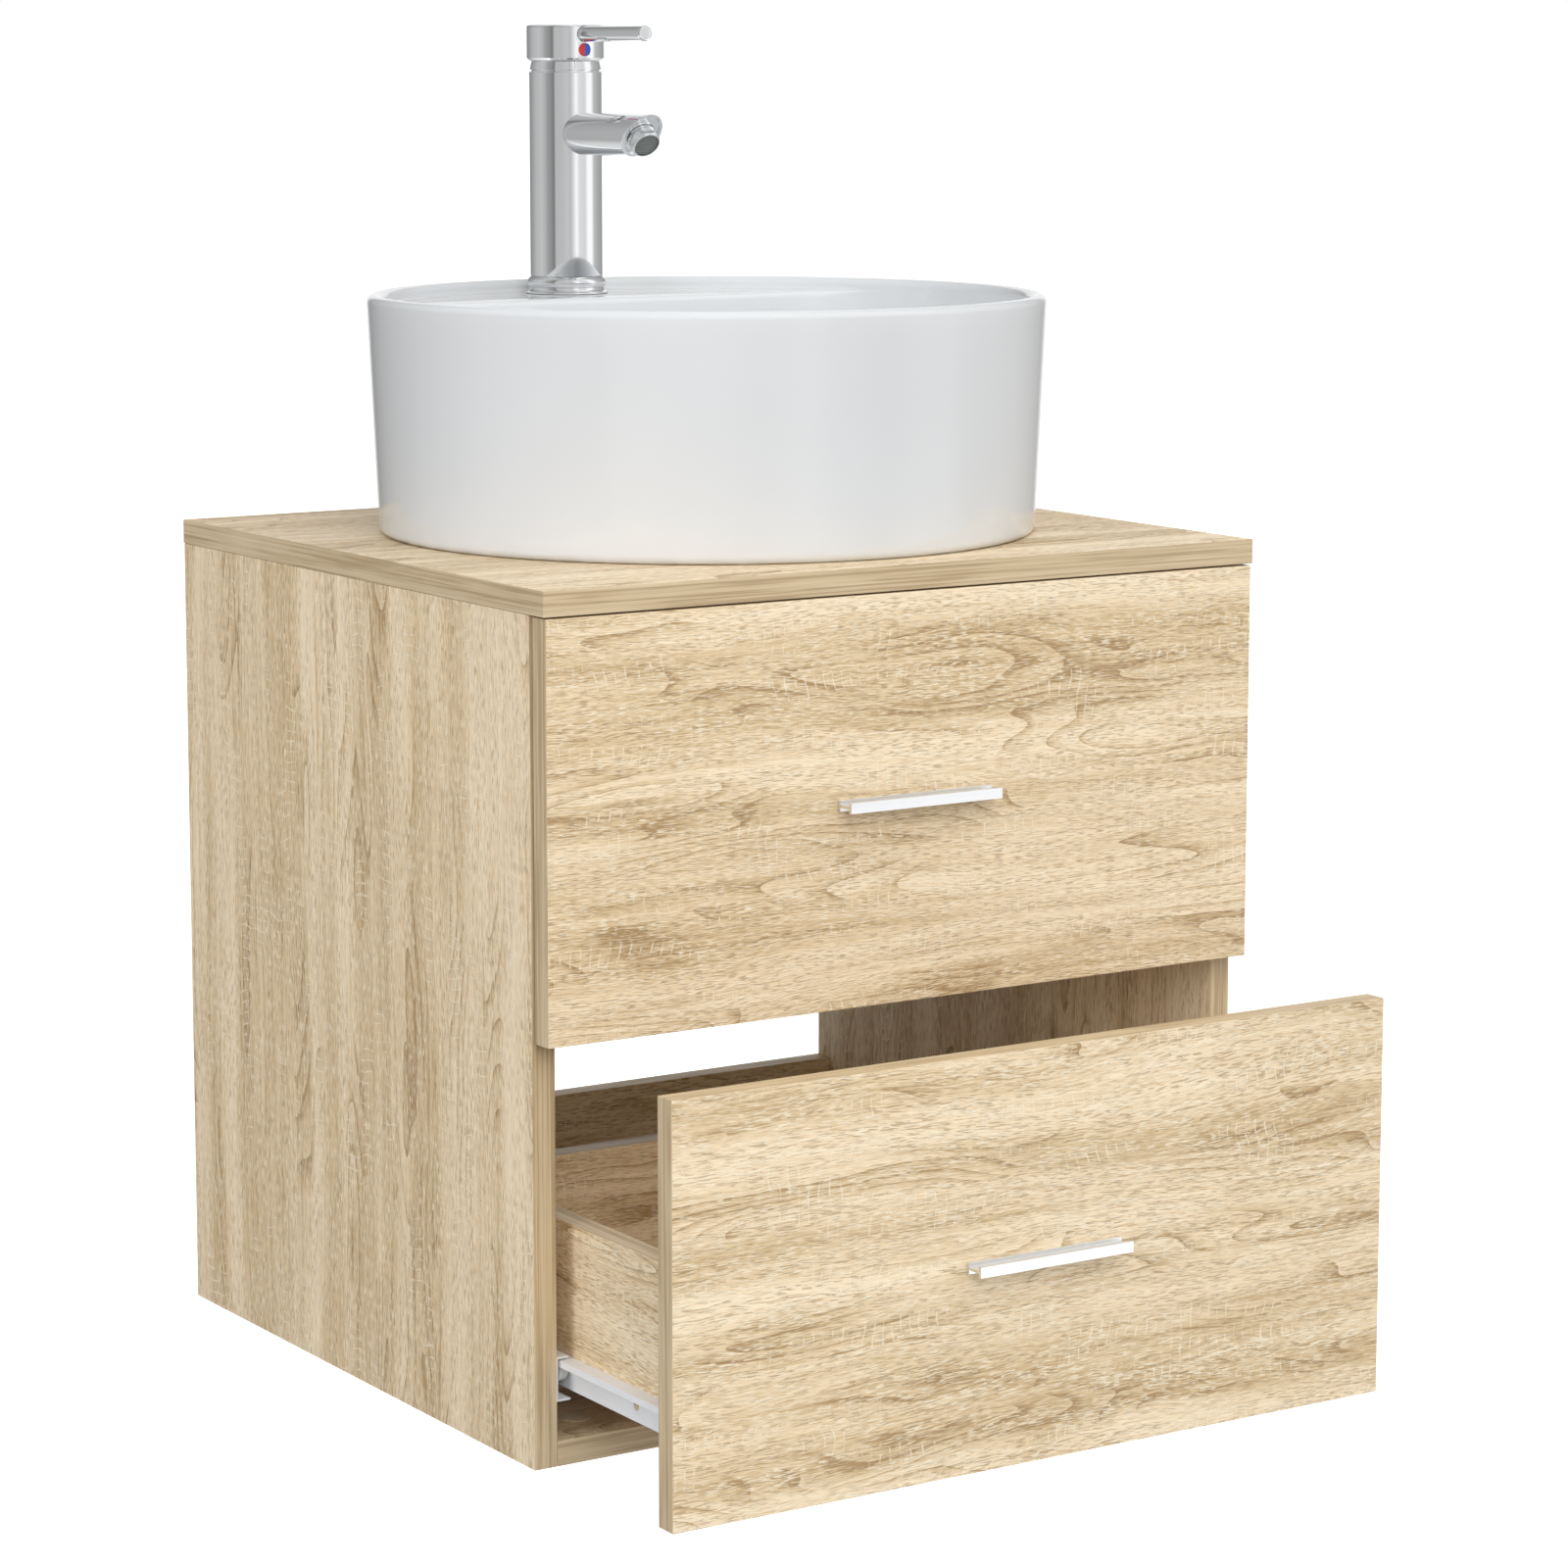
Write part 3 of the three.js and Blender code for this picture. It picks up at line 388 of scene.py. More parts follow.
def edgeBanding(name, turn):
    # printed melamine edging ironed on to the board's edges: lengthwise lines, flatter and a
    # little greyer than the faces
    material, tree, surface, strip = startMaterial(name, grainTurns[turn], Roughness=0.48, IOR=1.5)
    lines = layer(tree, strip, (160, 160, 1.5), 2.0, 0.3, 0.7, 2.0, 0.6)
    tone = layer(tree, strip, (70, 70, 9), 2.0, 0.3, 0.7, 5.0)
    mixed = addNode(tree, "Math", {"operation": "MULTIPLY_ADD", 1: 0.45}, {0: tone, 2: lines})
    colour = addNode(tree, "ValToRGB", {"stops": [
        (0.1, "dac6a4"), (0.75, "c9b38f"), (1.0, "b29b78")]}, {0: mixed})
    relief = addNode(tree, "Bump", {"Strength": 0.5, "Distance": 0.05 * mm}, {"Height": lines})
    gloss = addNode(tree, "MapRange", {3: 0.42, 4: 0.54}, {0: tone})
    dress(tree, surface, colour.outputs[0], relief.outputs[0], gloss.outputs[0])
    return material


def rawChipboard():
    # the core of the boards where an edge is left bare: pressed chips 1 to 4 mm across, rough
    material, tree, surface, core = startMaterial("rawChipboard", Roughness=0.85, IOR=1.45)
    chips = addNode(tree, "TexVoronoi", {"Scale": 0.42, "Randomness": 1.0}, {"Vector": core})
    dust = layer(tree, core, (0.9, 0.9, 0.9), 2.0, 0.3, 0.7)
    chipTone = addNode(tree, "SeparateXYZ", {}, {0: chips.outputs["Color"]})
    mixed = addNode(tree, "Math", {"operation": "MULTIPLY_ADD", 1: 0.35}, {0: dust, 2: chipTone})
    colour = addNode(tree, "ValToRGB", {"stops": [
        (0.05, "8d6f4a"), (0.5, "b8976b"), (1.0, "d3b78b")]}, {0: mixed})
    relief = addNode(tree, "Bump", {"Strength": 0.8, "Distance": 0.3 * mm}, {"Height": mixed})
    gloss = addNode(tree, "MapRange", {3: 0.78, 4: 0.92}, {0: dust})
    dress(tree, surface, colour.outputs[0], relief.outputs[0], gloss.outputs[0])
    return material


def speckled(name, colours, grain, relief, roughness, stretch=(1, 1, 1), **settings):
    # a finish with one fine grain in mm: its colour drifts between two tones, its roughness
    # between two values, and its relief in mm shows as a faint texture
    material, tree, surface, body = startMaterial(name, Roughness=roughness[0], **settings)
    fine = layer(tree, body, [grain * s for s in stretch], 2.0, 0.3, 0.7, 1.0)
    broad = layer(tree, body, [grain * 22 * s for s in stretch], 2.0, 0.3, 0.7, 4.0)
    colour = addNode(tree, "ValToRGB", {"stops": [(0, colours[0]), (1, colours[1])]}, {0: broad})
    bump = addNode(tree, "Bump", {"Strength": 0.6, "Distance": relief * mm}, {"Height": fine})
    mixed = addNode(tree, "Math", {"operation": "MULTIPLY_ADD", 1: 0.5}, {0: fine, 2: broad})
    gloss = addNode(tree, "MapRange", {2: 1.5, 3: roughness[0], 4: roughness[1]}, {0: mixed})
    dress(tree, surface, colour.outputs[0], bump.outputs[0], gloss.outputs[0])
    return material


def spangledZinc():
    # electroplated zinc on pressed steel: bluish grey metal with soft crystals a few mm across
    material, tree, surface, body = startMaterial("zincPlatedSteel", Metallic=1.0, Roughness=0.35)
    crystals = addNode(tree, "TexVoronoi", {"Scale": 0.25}, {"Vector": body})
    flake = addNode(tree, "SeparateXYZ", {}, {0: crystals.outputs["Color"]})
    colour = addNode(tree, "ValToRGB", {"stops": [(0, "a9b0b6"), (1, "c9cfd3")]}, {0: flake})
    gloss = addNode(tree, "MapRange", {3: 0.28, 4: 0.46}, {0: flake})
    relief = addNode(tree, "Bump", {"Strength": 0.4, "Distance": 0.02 * mm},
                     {"Height": layer(tree, body, (0.8, 0.8, 0.8))})
    dress(tree, surface, colour.outputs[0], relief.outputs[0], gloss.outputs[0])
    return material


# fired clay under clear glaze: wet shine, very faint waves
chinaGlaze = speckled("glazedVitreousChina", ("d6d8d9", "dbdddf"), 9.0, 0.012, (0.05, 0.10),
                      IOR=1.52, Coat_Weight=0.4, Coat_Roughness=0.03)
# polished cast brass, plated: mirror with the faintest ripple
chromePlate = speckled("chromePlatedBrass", ("e9eaeb", "eeeff0"), 6.0, 0.0005, (0.02, 0.04),
                       Metallic=1.0)
# drawn bar, etched and anodised: fine lines lengthwise
satinAluminium = speckled("satinAnodisedAluminium", ("f0f1f3", "f6f7f8"), 0.25, 0.01,
                          (0.30, 0.38), (60, 1, 1), Metallic=1.0)
# baked powder: orange peel
whiteEpoxy = speckled("epoxyCoatedSteel", ("e9eaeb", "f0f1f2"), 0.9, 0.02, (0.38, 0.46), IOR=1.5)
# milky, waxy
rollerNylon = speckled("mouldedNylon", ("dfdfda", "e9e9e5"), 0.5, 0.01, (0.36, 0.44), IOR=1.53)
# spark grain from the mould
coverPlastic = speckled("mouldedPolystyrene", ("d2c1a2", "dbccb0"), 0.35, 0.02, (0.42, 0.5),
                        IOR=1.55)
nutPlastic = speckled("mouldedPolypropylene", ("e6e6e2", "efefec"), 0.5, 0.02, (0.4, 0.5),
                      IOR=1.49)
gasketRubber = speckled("mouldedRubber", ("242424", "2e2e2e"), 0.6, 0.03, (0.7, 0.85), IOR=1.52)
# lathe lines round the part
turnedBrass = speckled("turnedBrass", ("b8975a", "c9a968"), 0.3, 0.006, (0.24, 0.36), (6, 6, 1),
                       Metallic=1.0)
# grey grille
meshPlastic = speckled("mouldedAcetal", ("8b8f8c", "9a9e9a"), 0.4, 0.01, (0.4, 0.5), IOR=1.48)
hotEnamel = speckled("redEnamel", ("c9231a", "d92c1f"), 0.5, 0.004, (0.2, 0.28), IOR=1.5,
                     Coat_Weight=0.5)
coldEnamel = speckled("blueEnamel", ("1f49b4", "2857cc"), 0.5, 0.004, (0.2, 0.28), IOR=1.5,
                      Coat_Weight=0.5)
# matted brown fibre
pressedFibre = speckled("pressedHardboard", ("a8865c", "b8966b"), 0.6, 0.05, (0.72, 0.85),
                        IOR=1.45)
zincPlate = spangledZinc()
boardCore = rawChipboard()
print("materials made:", len(bpy.data.materials))


def chromed(item, body, node=(), angle=30):
    smoothen(item, angle)
    return finishPiece(item, body, node, chromePlate)


# boards

boards = {  # node: grain, place on the printed sheet in mm, banded edges, body, slot
    "worktop": ("flat", (140, 60, 0), ("x-", "x+", "y-"), "cabinet", "melamine_oak"),
    "left_side_panel":
        ("upright", (260, 420, 30), ("y-", "z-"), "cabinet", "melamine_oak_upright"),
    "right_side_panel":
        ("upright", (900, 150, 30), ("y-", "z-"), "cabinet", "melamine_oak_upright"),
    "bottom_panel": ("flat", (760, 900, 0), ("y-",), "cabinet", "melamine_oak"),
    "lower_back_rail": ("front", (1500, 330, 0), ("z+",), "cabinet", "melamine_oak"),
    "upper_back_rail": ("front", (2100, 610, 0), ("z-",), "cabinet", "melamine_oak"),
    "upper_drawer_front":
        ("front", (30, 40, 0), ("x-", "x+", "z-", "z+"), "upper_drawer", "melamine_oak"),
    "lower_drawer_front":
        ("front", (640, 540, 0), ("x-", "x+", "z-", "z+"), "lower_drawer", "melamine_oak"),
}
for prefix, start in (("upper_drawer", 300), ("lower_drawer", 1900)):
    boards[prefix + "_left_side"] = ("lengthwise", (start, 90, 0), ("z+",), prefix, "melamine_oak")
    boards[prefix + "_right_side"] = ("lengthwise", (start + 500, 260, 0), ("z+",), prefix,
                                      "melamine_oak")
    boards[prefix + "_back"] = ("front", (start + 900, 420, 0), ("z+",), prefix, "melamine_oak")

boardMake = {"arris": 0.5, "frontRise": 1.0, "grooveFit": 0.3, "wasteHole": 36, "hoseHole": 27,
             "hookSlot": 8}
bands = {turn: edgeBanding("melamineEdging_" + turn, turn) for turn in grainTurns}


def grooveCutter(prefix):
    low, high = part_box(prefix + "_bottom")
    fit = Vector((boardMake["grooveFit"],) * 3) * mm
    return addBlock("groove", low - fit, high + fit + Vector((0, 3 * mm, 0)))


def cuttersFor(node):
    low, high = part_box(node)
    if node == "worktop":
        waste, tap = [sum(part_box(n), Vector()) / 2 for n in ("waste_plug", "tap_foot")]
        return [addRound("hole", (0, at.y, low.z - mm), (0, at.y, high.z + mm),
                         boardMake[size] * mm)
                for at, size in ((waste, "wasteHole"), (tap, "hoseHole"))]
    if node == "upper_back_rail":
        slots = []
        for hanger in ("left_wall_hanger", "right_wall_hanger"):
            a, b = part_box(hanger)
            x, z, reach = (a.x + b.x) / 2, (a.z + b.z) / 2, boardMake["hookSlot"] * mm
            slots.append(addBlock("slot", (x - reach, low.y - mm, z - reach),
                                  (x + reach, high.y + mm, z + reach)))
        return slots
    if node.endswith(("_drawer_front", "_left_side", "_right_side")):
        return [grooveCutter(node[:12])]
    return []


def woodenBoard(node, turn, shift, banded, body, slotName):
    low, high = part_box(node)
    if node == "upper_drawer_front":  # its top edge, up in the gap under the worktop
        high.z += boardMake["frontRise"] * mm
    item = addBlock(node.replace("_", " ").title().replace(" ", "") + "Board", low, high)
    size = high - low
    thin = min(range(3), key=lambda i: size[i])
    for finish in (oakMelamine("oakMelamine_" + node, turn, shift), bands[turn], boardCore):
        item.data.materials.append(finish)
    for face in item.data.polygons:
        way = max(range(3), key=lambda i: abs(face.normal[i]))
        edge = "xyz"[way] + ("+" if face.normal[way] > 0 else "-")
        face.material_index = 0 if way == thin else 1 if edge in banded else 2
    roundEdges(item, boardMake["arris"], 2)
    cutAway(item, *cuttersFor(node))
    smoothen(item)
    return finishPiece(item, body, node)


for node, plan in boards.items():
    woodenBoard(node, *plan)

for prefix in ("upper_drawer", "lower_drawer"):  # thin bottoms: printed on top, bare fibre below
    low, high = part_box(prefix + "_bottom")
    item = addBlock(prefix.replace("_d", "D") + "BottomPanel", low, high)
    item.data.materials.append(oakMelamine("oakFoil_" + prefix, "flat",
                                           (2600, 300 if prefix[0] == "u" else 900, 0)))
    item.data.materials.append(pressedFibre)
    for face in item.data.polygons:
        face.material_index = 0 if face.normal.z > 0.5 else 1
    roundEdges(item, 0.3, 2)
    smoothen(item)
    finishPiece(item, prefix, prefix + "_bottom")
print("boards done")


# cam covers, hangers

coverMake = {"radius": 9.5, "thickness": 1.0, "lip": 0.45, "flat": 1.6, "dimple": 2.2,
             "dimpleDeep": 0.12}


def camCover(node):
    low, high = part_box(node)
    centre = ((low.x + high.x) / 2, (low.y + high.y) / 2, low.z)
    m = coverMake
    r, t, lip, dimple = m["radius"], m["thickness"], m["lip"], m["dimple"]
    floor = t - m["dimpleDeep"]
    profile = [(0, 0), (r - 0.2, 0), *arcPoints(r - lip, lip, lip, -60, 75, 5), (r - m["flat"], t),
               (dimple, t), (dimple - 0.3, floor), (0, floor)]
    item = turnedPiece("LeftCamCap", profile, centre, steps=64)
    smoothen(item)
    return finishPiece(item, "cabinet", node, coverPlastic)


copyPiece(camCover("left_cam_cover"), "RightCamCap", between("left_cam_cover", "right_cam_cover"),
          "cabinet", "right_cam_cover")

hangerMake = {
    "arris": 1.2, "hookThick": 3, "hookWide": 10, "hookDrop": 7, "hookRoot": 4, "housingDeep": 42,
    "hookBelowTop": 30.1, "frame": 1.6, "step": 0.5, "recess": 0.8, "screw": 3.6, "screwBore": 4.2,
    "screwApart": 28, "screwDeep": 2.2, "slotLong": 2.2, "slotWide": 0.45, "slotDeep": 0.9,
}


def wallHanger(node):
    m = hangerMake
    low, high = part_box(node)
    x, z = (low.x + high.x) / 2, high.z - m["hookBelowTop"] * mm
    back = low.y + m["housingDeep"] * mm
    housing = addBlock("LeftHangerHousing", low, (high.x, back, high.z))
    pick(housing, "FACE", lambda at, normal: normal.y < -0.9)
    bpy.ops.mesh.inset(thickness=m["frame"] * mm)
    bpy.ops.mesh.inset(thickness=m["step"] * mm, depth=-m["recess"] * mm)
    bpy.ops.object.mode_set(mode="OBJECT")
    roundEdges(housing, m["arris"], 3, 60)
    offsets = [way * m["screwApart"] / 2 * mm for way in (-1, 1)]
    holes = [addRound("bore", (x, low.y - mm, z + dz), (x, low.y + 3 * mm, z + dz),
                      m["screwBore"] * mm)
             for dz in offsets]
    cutAway(housing, *holes)
    smoothen(housing)
    finishPiece(housing, "cabinet", node, zincPlate)
    half = m["hookWide"] / 2 * mm
    thick = m["hookThick"] * mm
    rear = high.y
    root, tip = back - m["hookRoot"] * mm, z - m["hookDrop"] * mm
    outline = [Vector((x - half, y, h)) for y, h in (
        (root, z), (rear, z), (rear, tip), (rear - thick, tip), (rear - thick, z - thick),
        (root, z - thick))]
    hook = drawnPiece("LeftHangerHook", outline, (2 * half, 0, 0))
    roundEdges(hook, 0.5, 2)
    smoothen(hook)
    finishPiece(hook, "cabinet", finish=zincPlate)
    screws = []
    for i, dz in enumerate(offsets):
        at = Vector((x, low.y + m["screwDeep"] * mm, z + dz))
        r = m["screw"]
        profile = [(0, -1.6), (r, -1.6), (r, -0.5), (r - 0.5, 0), (0, 0.25)]
        head = turnedPiece("LeftHangerScrew" + str(i), profile, at, (0, -1, 0), 32)
        long, wide, deep = (m[key] * mm for key in ("slotLong", "slotWide", "slotDeep"))
        cross = [addBlock("slot", at + Vector((-a, -mm, -b)), at + Vector((a, deep, b)))
                 for a, b in ((long, wide), (wide, long))]
        cutAway(head, *cross)
        smoothen(head)
        screws.append(finishPiece(head, "cabinet", finish=zincPlate))
    return housing, hook, *screws


for item in wallHanger("left_wall_hanger"):
    copyPiece(item, item.name.replace("Left", "Right"),
              between("left_wall_hanger", "right_wall_hanger"),
              "cabinet", "right_wall_hanger" if "Housing" in item.name else ())
print("small fittings done")


# handles

handleMake = {"plate": 2.0, "web": 1.8, "lip": 2.4, "arris": 0.35}


def handleBar(prefix):
    m = handleMake
    low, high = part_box(prefix + "_handle")
    z, half, thin = (low.z + high.z) / 2, (high.z - low.z) / 2, m["web"] / 2 * mm
    plateY, lipY = high.y - m["plate"] * mm, low.y + m["lip"] * mm
    side = [(high.y, half), (plateY, half), (plateY, thin), (lipY, thin), (lipY, half),
            (low.y, half)]
    outline = [Vector((low.x, y, z + h)) for y, h in side + [(y, -h) for y, h in reversed(side)]]
    item = drawnPiece("upperHandleBar", outline, (high.x - low.x, 0, 0))
    roundEdges(item, m["arris"], 3)
    smoothen(item)
    return finishPiece(item, prefix, prefix + "_handle", satinAluminium)


copyPiece(handleBar("upper_drawer"), "lowerHandleBar",
          between("upper_drawer_handle", "lower_drawer_handle"),
          "lower_drawer", "lower_drawer_handle")
print("handles done")


# roller runners

runnerMake = {
    "sheet": 1.2, "drawerOuter": 222, "fold": 0.35, "screwHole": 3, "holeBack": 65, "play": 0.1,
    "foot": 12, "flange": 9.8, "height": 18, "lip": 4, "footUnder": 1.3,
    "trackOut": 12.4, "trackIn": 3, "trackLip": 4, "trackTop": 20.2, "trackFoot": 4.8,
    "trackBase": 6.0, "axle": 1.95, "axleHead": 3.1, "axleBack": 10, "axleUp": 2.0,
    "screw": 3.4, "screwUp": 8, "screwsAt": (37, 128, 261),
    "slotLong": 1.8, "slotWide": 0.4, "slotFrom": 1.2, "slotTo": 3,
    "notch": ((4, 13), (17, 14), (8, 3), (9, 9)),
}


def runnerOutline(side, y, base, points):
    reach = runnerMake["drawerOuter"]
    return [Vector((side * (reach + out) * mm, y, base + up * mm)) for out, up in points]


def axleProfile(length, dome=0.7):
    # a rivet's pin and its domed head
    pin, head = runnerMake["axle"], runnerMake["axleHead"]
    return [(0, 0), (pin, 0), (pin, length), (head, length), (head, length + 0.4),
            (2.2, length + 0.4 + dome), (0, length + 0.6 + dome)]


def drawerMember(prefix, hand, side):
    node = prefix + "_" + hand + "_runner"
    low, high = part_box(node)
    m = runnerMake
    base, reach, sheet = low.z + m["footUnder"] * mm, m["drawerOuter"], m["sheet"]
    play, foot, flange, top = m["play"], m["foot"], m["flange"], m["height"]
    outline = runnerOutline(side, low.y, base, [
        (-foot, -play - sheet), (play + sheet, -play - sheet), (play + sheet, top - sheet),
        (flange - sheet, top - sheet), (flange - sheet, top - m["lip"]), (flange, top - m["lip"]),
        (flange, top), (play, top), (play, -play), (-foot, -play)])
    item = drawnPiece(prefix[:5] + hand.title() + "DrawerRunner", outline, (0, high.y - low.y, 0))
    front = low.y - play * mm
    xs = sorted((side * (reach - 1) * mm, side * (reach + 3) * mm))
    holeY, holeZ = front + m["holeBack"] * mm, base + m["screwUp"] * mm
    hole = addRound("hole", (xs[0], holeY, holeZ), (xs[1], holeY, holeZ), m["screwHole"] * mm, 32)
    corners = [Vector((xs[0], low.y + y * mm, base + z * mm)) for y, z in m["notch"]]
    cutAway(item, hole, drawnPiece("notch", corners, (xs[1] - xs[0], 0, 0)))
    roundEdges(item, m["fold"], 2, 50)
    smoothen(item)
    finishPiece(item, prefix, node, whiteEpoxy)
    axleY, axleZ = high.y - m["axleBack"] * mm, base + m["axleUp"] * mm
    rivet = turnedPiece(prefix[:5] + hand.title() + "DrawerAxle", axleProfile(8.1),
                        (side * (reach + 0.2) * mm, axleY, axleZ), (side, 0, 0), 32)
    smoothen(rivet)
    finishPiece(rivet, prefix, finish=zincPlate)
    return item, rivet


def cabinetTrack(prefix, hand, side):
    node = prefix + "_" + hand + "_track"
    low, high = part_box(node)
    m = runnerMake
    base, sheet, reach = low.z + m["trackBase"] * mm, m["sheet"], m["drawerOuter"]
    top = m["trackTop"]
    outer, inner, lip, foot = m["trackOut"], m["trackIn"], m["trackLip"], m["trackFoot"]
    web = outer - sheet
    outline = runnerOutline(side, low.y, base, [
        (inner, -foot - sheet), (outer, -foot - sheet), (outer, top), (lip, top),
        (lip, top - sheet), (web, top - sheet), (web, -foot), (inner, -foot)])
    item = drawnPiece(prefix + hand.title() + "CabinetTrack", outline, (0, high.y - low.y, 0))
    roundEdges(item, m["fold"], 2, 50)
    smoothen(item)
    finishPiece(item, "cabinet", node, whiteEpoxy)
    rollerLow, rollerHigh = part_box(node + "_roller")
    at = (rollerLow + rollerHigh) / 2
    rivet = turnedPiece(prefix + hand.title() + "TrackAxle", axleProfile(8.9, 0.6),
                        (side * (reach + 11.6) * mm, at.y, at.z), (-side, 0, 0), 32)
    smoothen(rivet)
    finishPiece(rivet, "cabinet", finish=zincPlate)
    made = [item, rivet]
    for i, distance in enumerate(m["screwsAt"]):  # pan-head screws through the web into the panel
        centre = (side * (reach + web) * mm, low.y + distance * mm, base + m["screwUp"] * mm)
        profile = [(0, 0), (m["screw"], 0), (m["screw"], 0.6), (2.7, 1.5), (1.2, 2.0), (0, 2.05)]
        head = turnedPiece(prefix + hand.title() + "TrackScrew" + str(i), profile, centre,
                           (-side, 0, 0), 24)
        ahead = Vector((-side, 0, 0))
        long, wide = m["slotLong"], m["slotWide"]
        for a, b in ((long, wide), (wide, long)):
            near = Vector(centre) + ahead * m["slotFrom"] * mm
            far = Vector(centre) + ahead * m["slotTo"] * mm
            lows = Vector((min(near.x, far.x), near.y - a * mm, near.z - b * mm))
            highs = Vector((max(near.x, far.x), near.y + a * mm, near.z + b * mm))
            cutAway(head, addBlock("slot", lows, highs))
        smoothen(head)
        made.append(finishPiece(head, "cabinet", finish=zincPlate))
    return made


rollerMake = {"bore": 2.3, "hub": 3.6, "rim": 5.5, "dish": 0.6, "chamfer": 0.5, "arris": 0.15}


def roller(node):
    m = rollerMake
    low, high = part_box(node)
    centre = (low + high) / 2
    half, tread = (high.x - low.x) / 2 / mm, (high.z - low.z) / 2 / mm
    dish, chamfer = half - m["dish"], m["chamfer"]
    side = [(m["bore"], half), (m["hub"], half), (m["hub"] + 0.4, dish), (m["rim"] - 0.3, dish),
            (m["rim"], half), (tread - chamfer, half), (tread, half - chamfer)]
    profile = [(r, -x) for r, x in side] + side[::-1] + [(m["bore"], -half)]
    words = node.split("_")
    item = turnedPiece("".join(w.title() for w in words), profile, centre, (1, 0, 0), 48)
    roundEdges(item, m["arris"], 2, 30)
    smoothen(item)
    return finishPiece(item, node, node, rollerNylon)


firstRoller = roller("upper_left_track_roller")
for prefix in ("upper", "lower"):
    for hand in ("left", "right"):
        for node in (prefix + "_" + hand + "_track_roller",
                     prefix + "_drawer_" + hand + "_roller"):
            if node != "upper_left_track_roller":
                copyPiece(firstRoller, node.replace("_", " ").title().replace(" ", ""),
                          between("upper_left_track_roller", node), node, node)

# the lower pair of each hand is a copy of the upper one
for hand, side in (("left", -1), ("right", 1)):
    for pieces, node in ((drawerMember("upper_drawer", hand, side),
                          "upper_drawer_" + hand + "_runner"),
                         (cabinetTrack("upper", hand, side), "upper_" + hand + "_track")):
        lowerNode = node.replace("upper", "lower")
        body = "lower_drawer" if "drawer" in node else "cabinet"
        for i, item in enumerate(pieces):
            copyPiece(item, item.name.replace("upper", "lower"), between(node, lowerNode), body,
                      () if i else lowerNode)
print("runners done")


# basin

basinMake = {
    "topRadius": 210, "baseRadius": 204, "height": 147, "rim": 5, "footEdge": 5, "bowlRadius": 200,
    "deck": 139, "deckFront": 112, "wasteAhead": 40, "deckFillet": 3, "deckNose": 5, "draft": 8,
    "wallFoot": 61, "cornerWidth": 32, "cornerDrop": 28, "floor": 28,
    "wasteSeat": 32.3, "seatRound": 1.2, "seatDrop": 3.3, "wasteHole": 22.5, "foot": 15,
    "cornerSharpness": 14, "hollowTop": 127, "coneFoot": 196, "coneTop": 199, "steps": 216,
    "tapHole": 17.5, "underBoss": 32, "underBend": (30, 32, 48, 28), "underWall": 9,
}


def resample(points, count):
    # the same line with its points evenly spaced
    lengths = [0.0]
    for (r0, z0), (r1, z1) in zip(points, points[1:]):
        lengths.append(lengths[-1] + math.hypot(r1 - r0, z1 - z0))
    spaced = []
    for i in range(count + 1):
        target, k = lengths[-1] * i / count, 0
        while k < len(points) - 2 and lengths[k + 1] < target:
            k += 1
        share = (target - lengths[k]) / max(lengths[k + 1] - lengths[k], 1e-9)
        spaced.append(tuple(a + (b - a) * share for a, b in zip(points[k], points[k + 1])))
    return spaced


def straight(start, end, count):
    return [tuple(a + (b - a) * i / count for a, b in zip(start, end))
            for i in range(1, count + 1)]


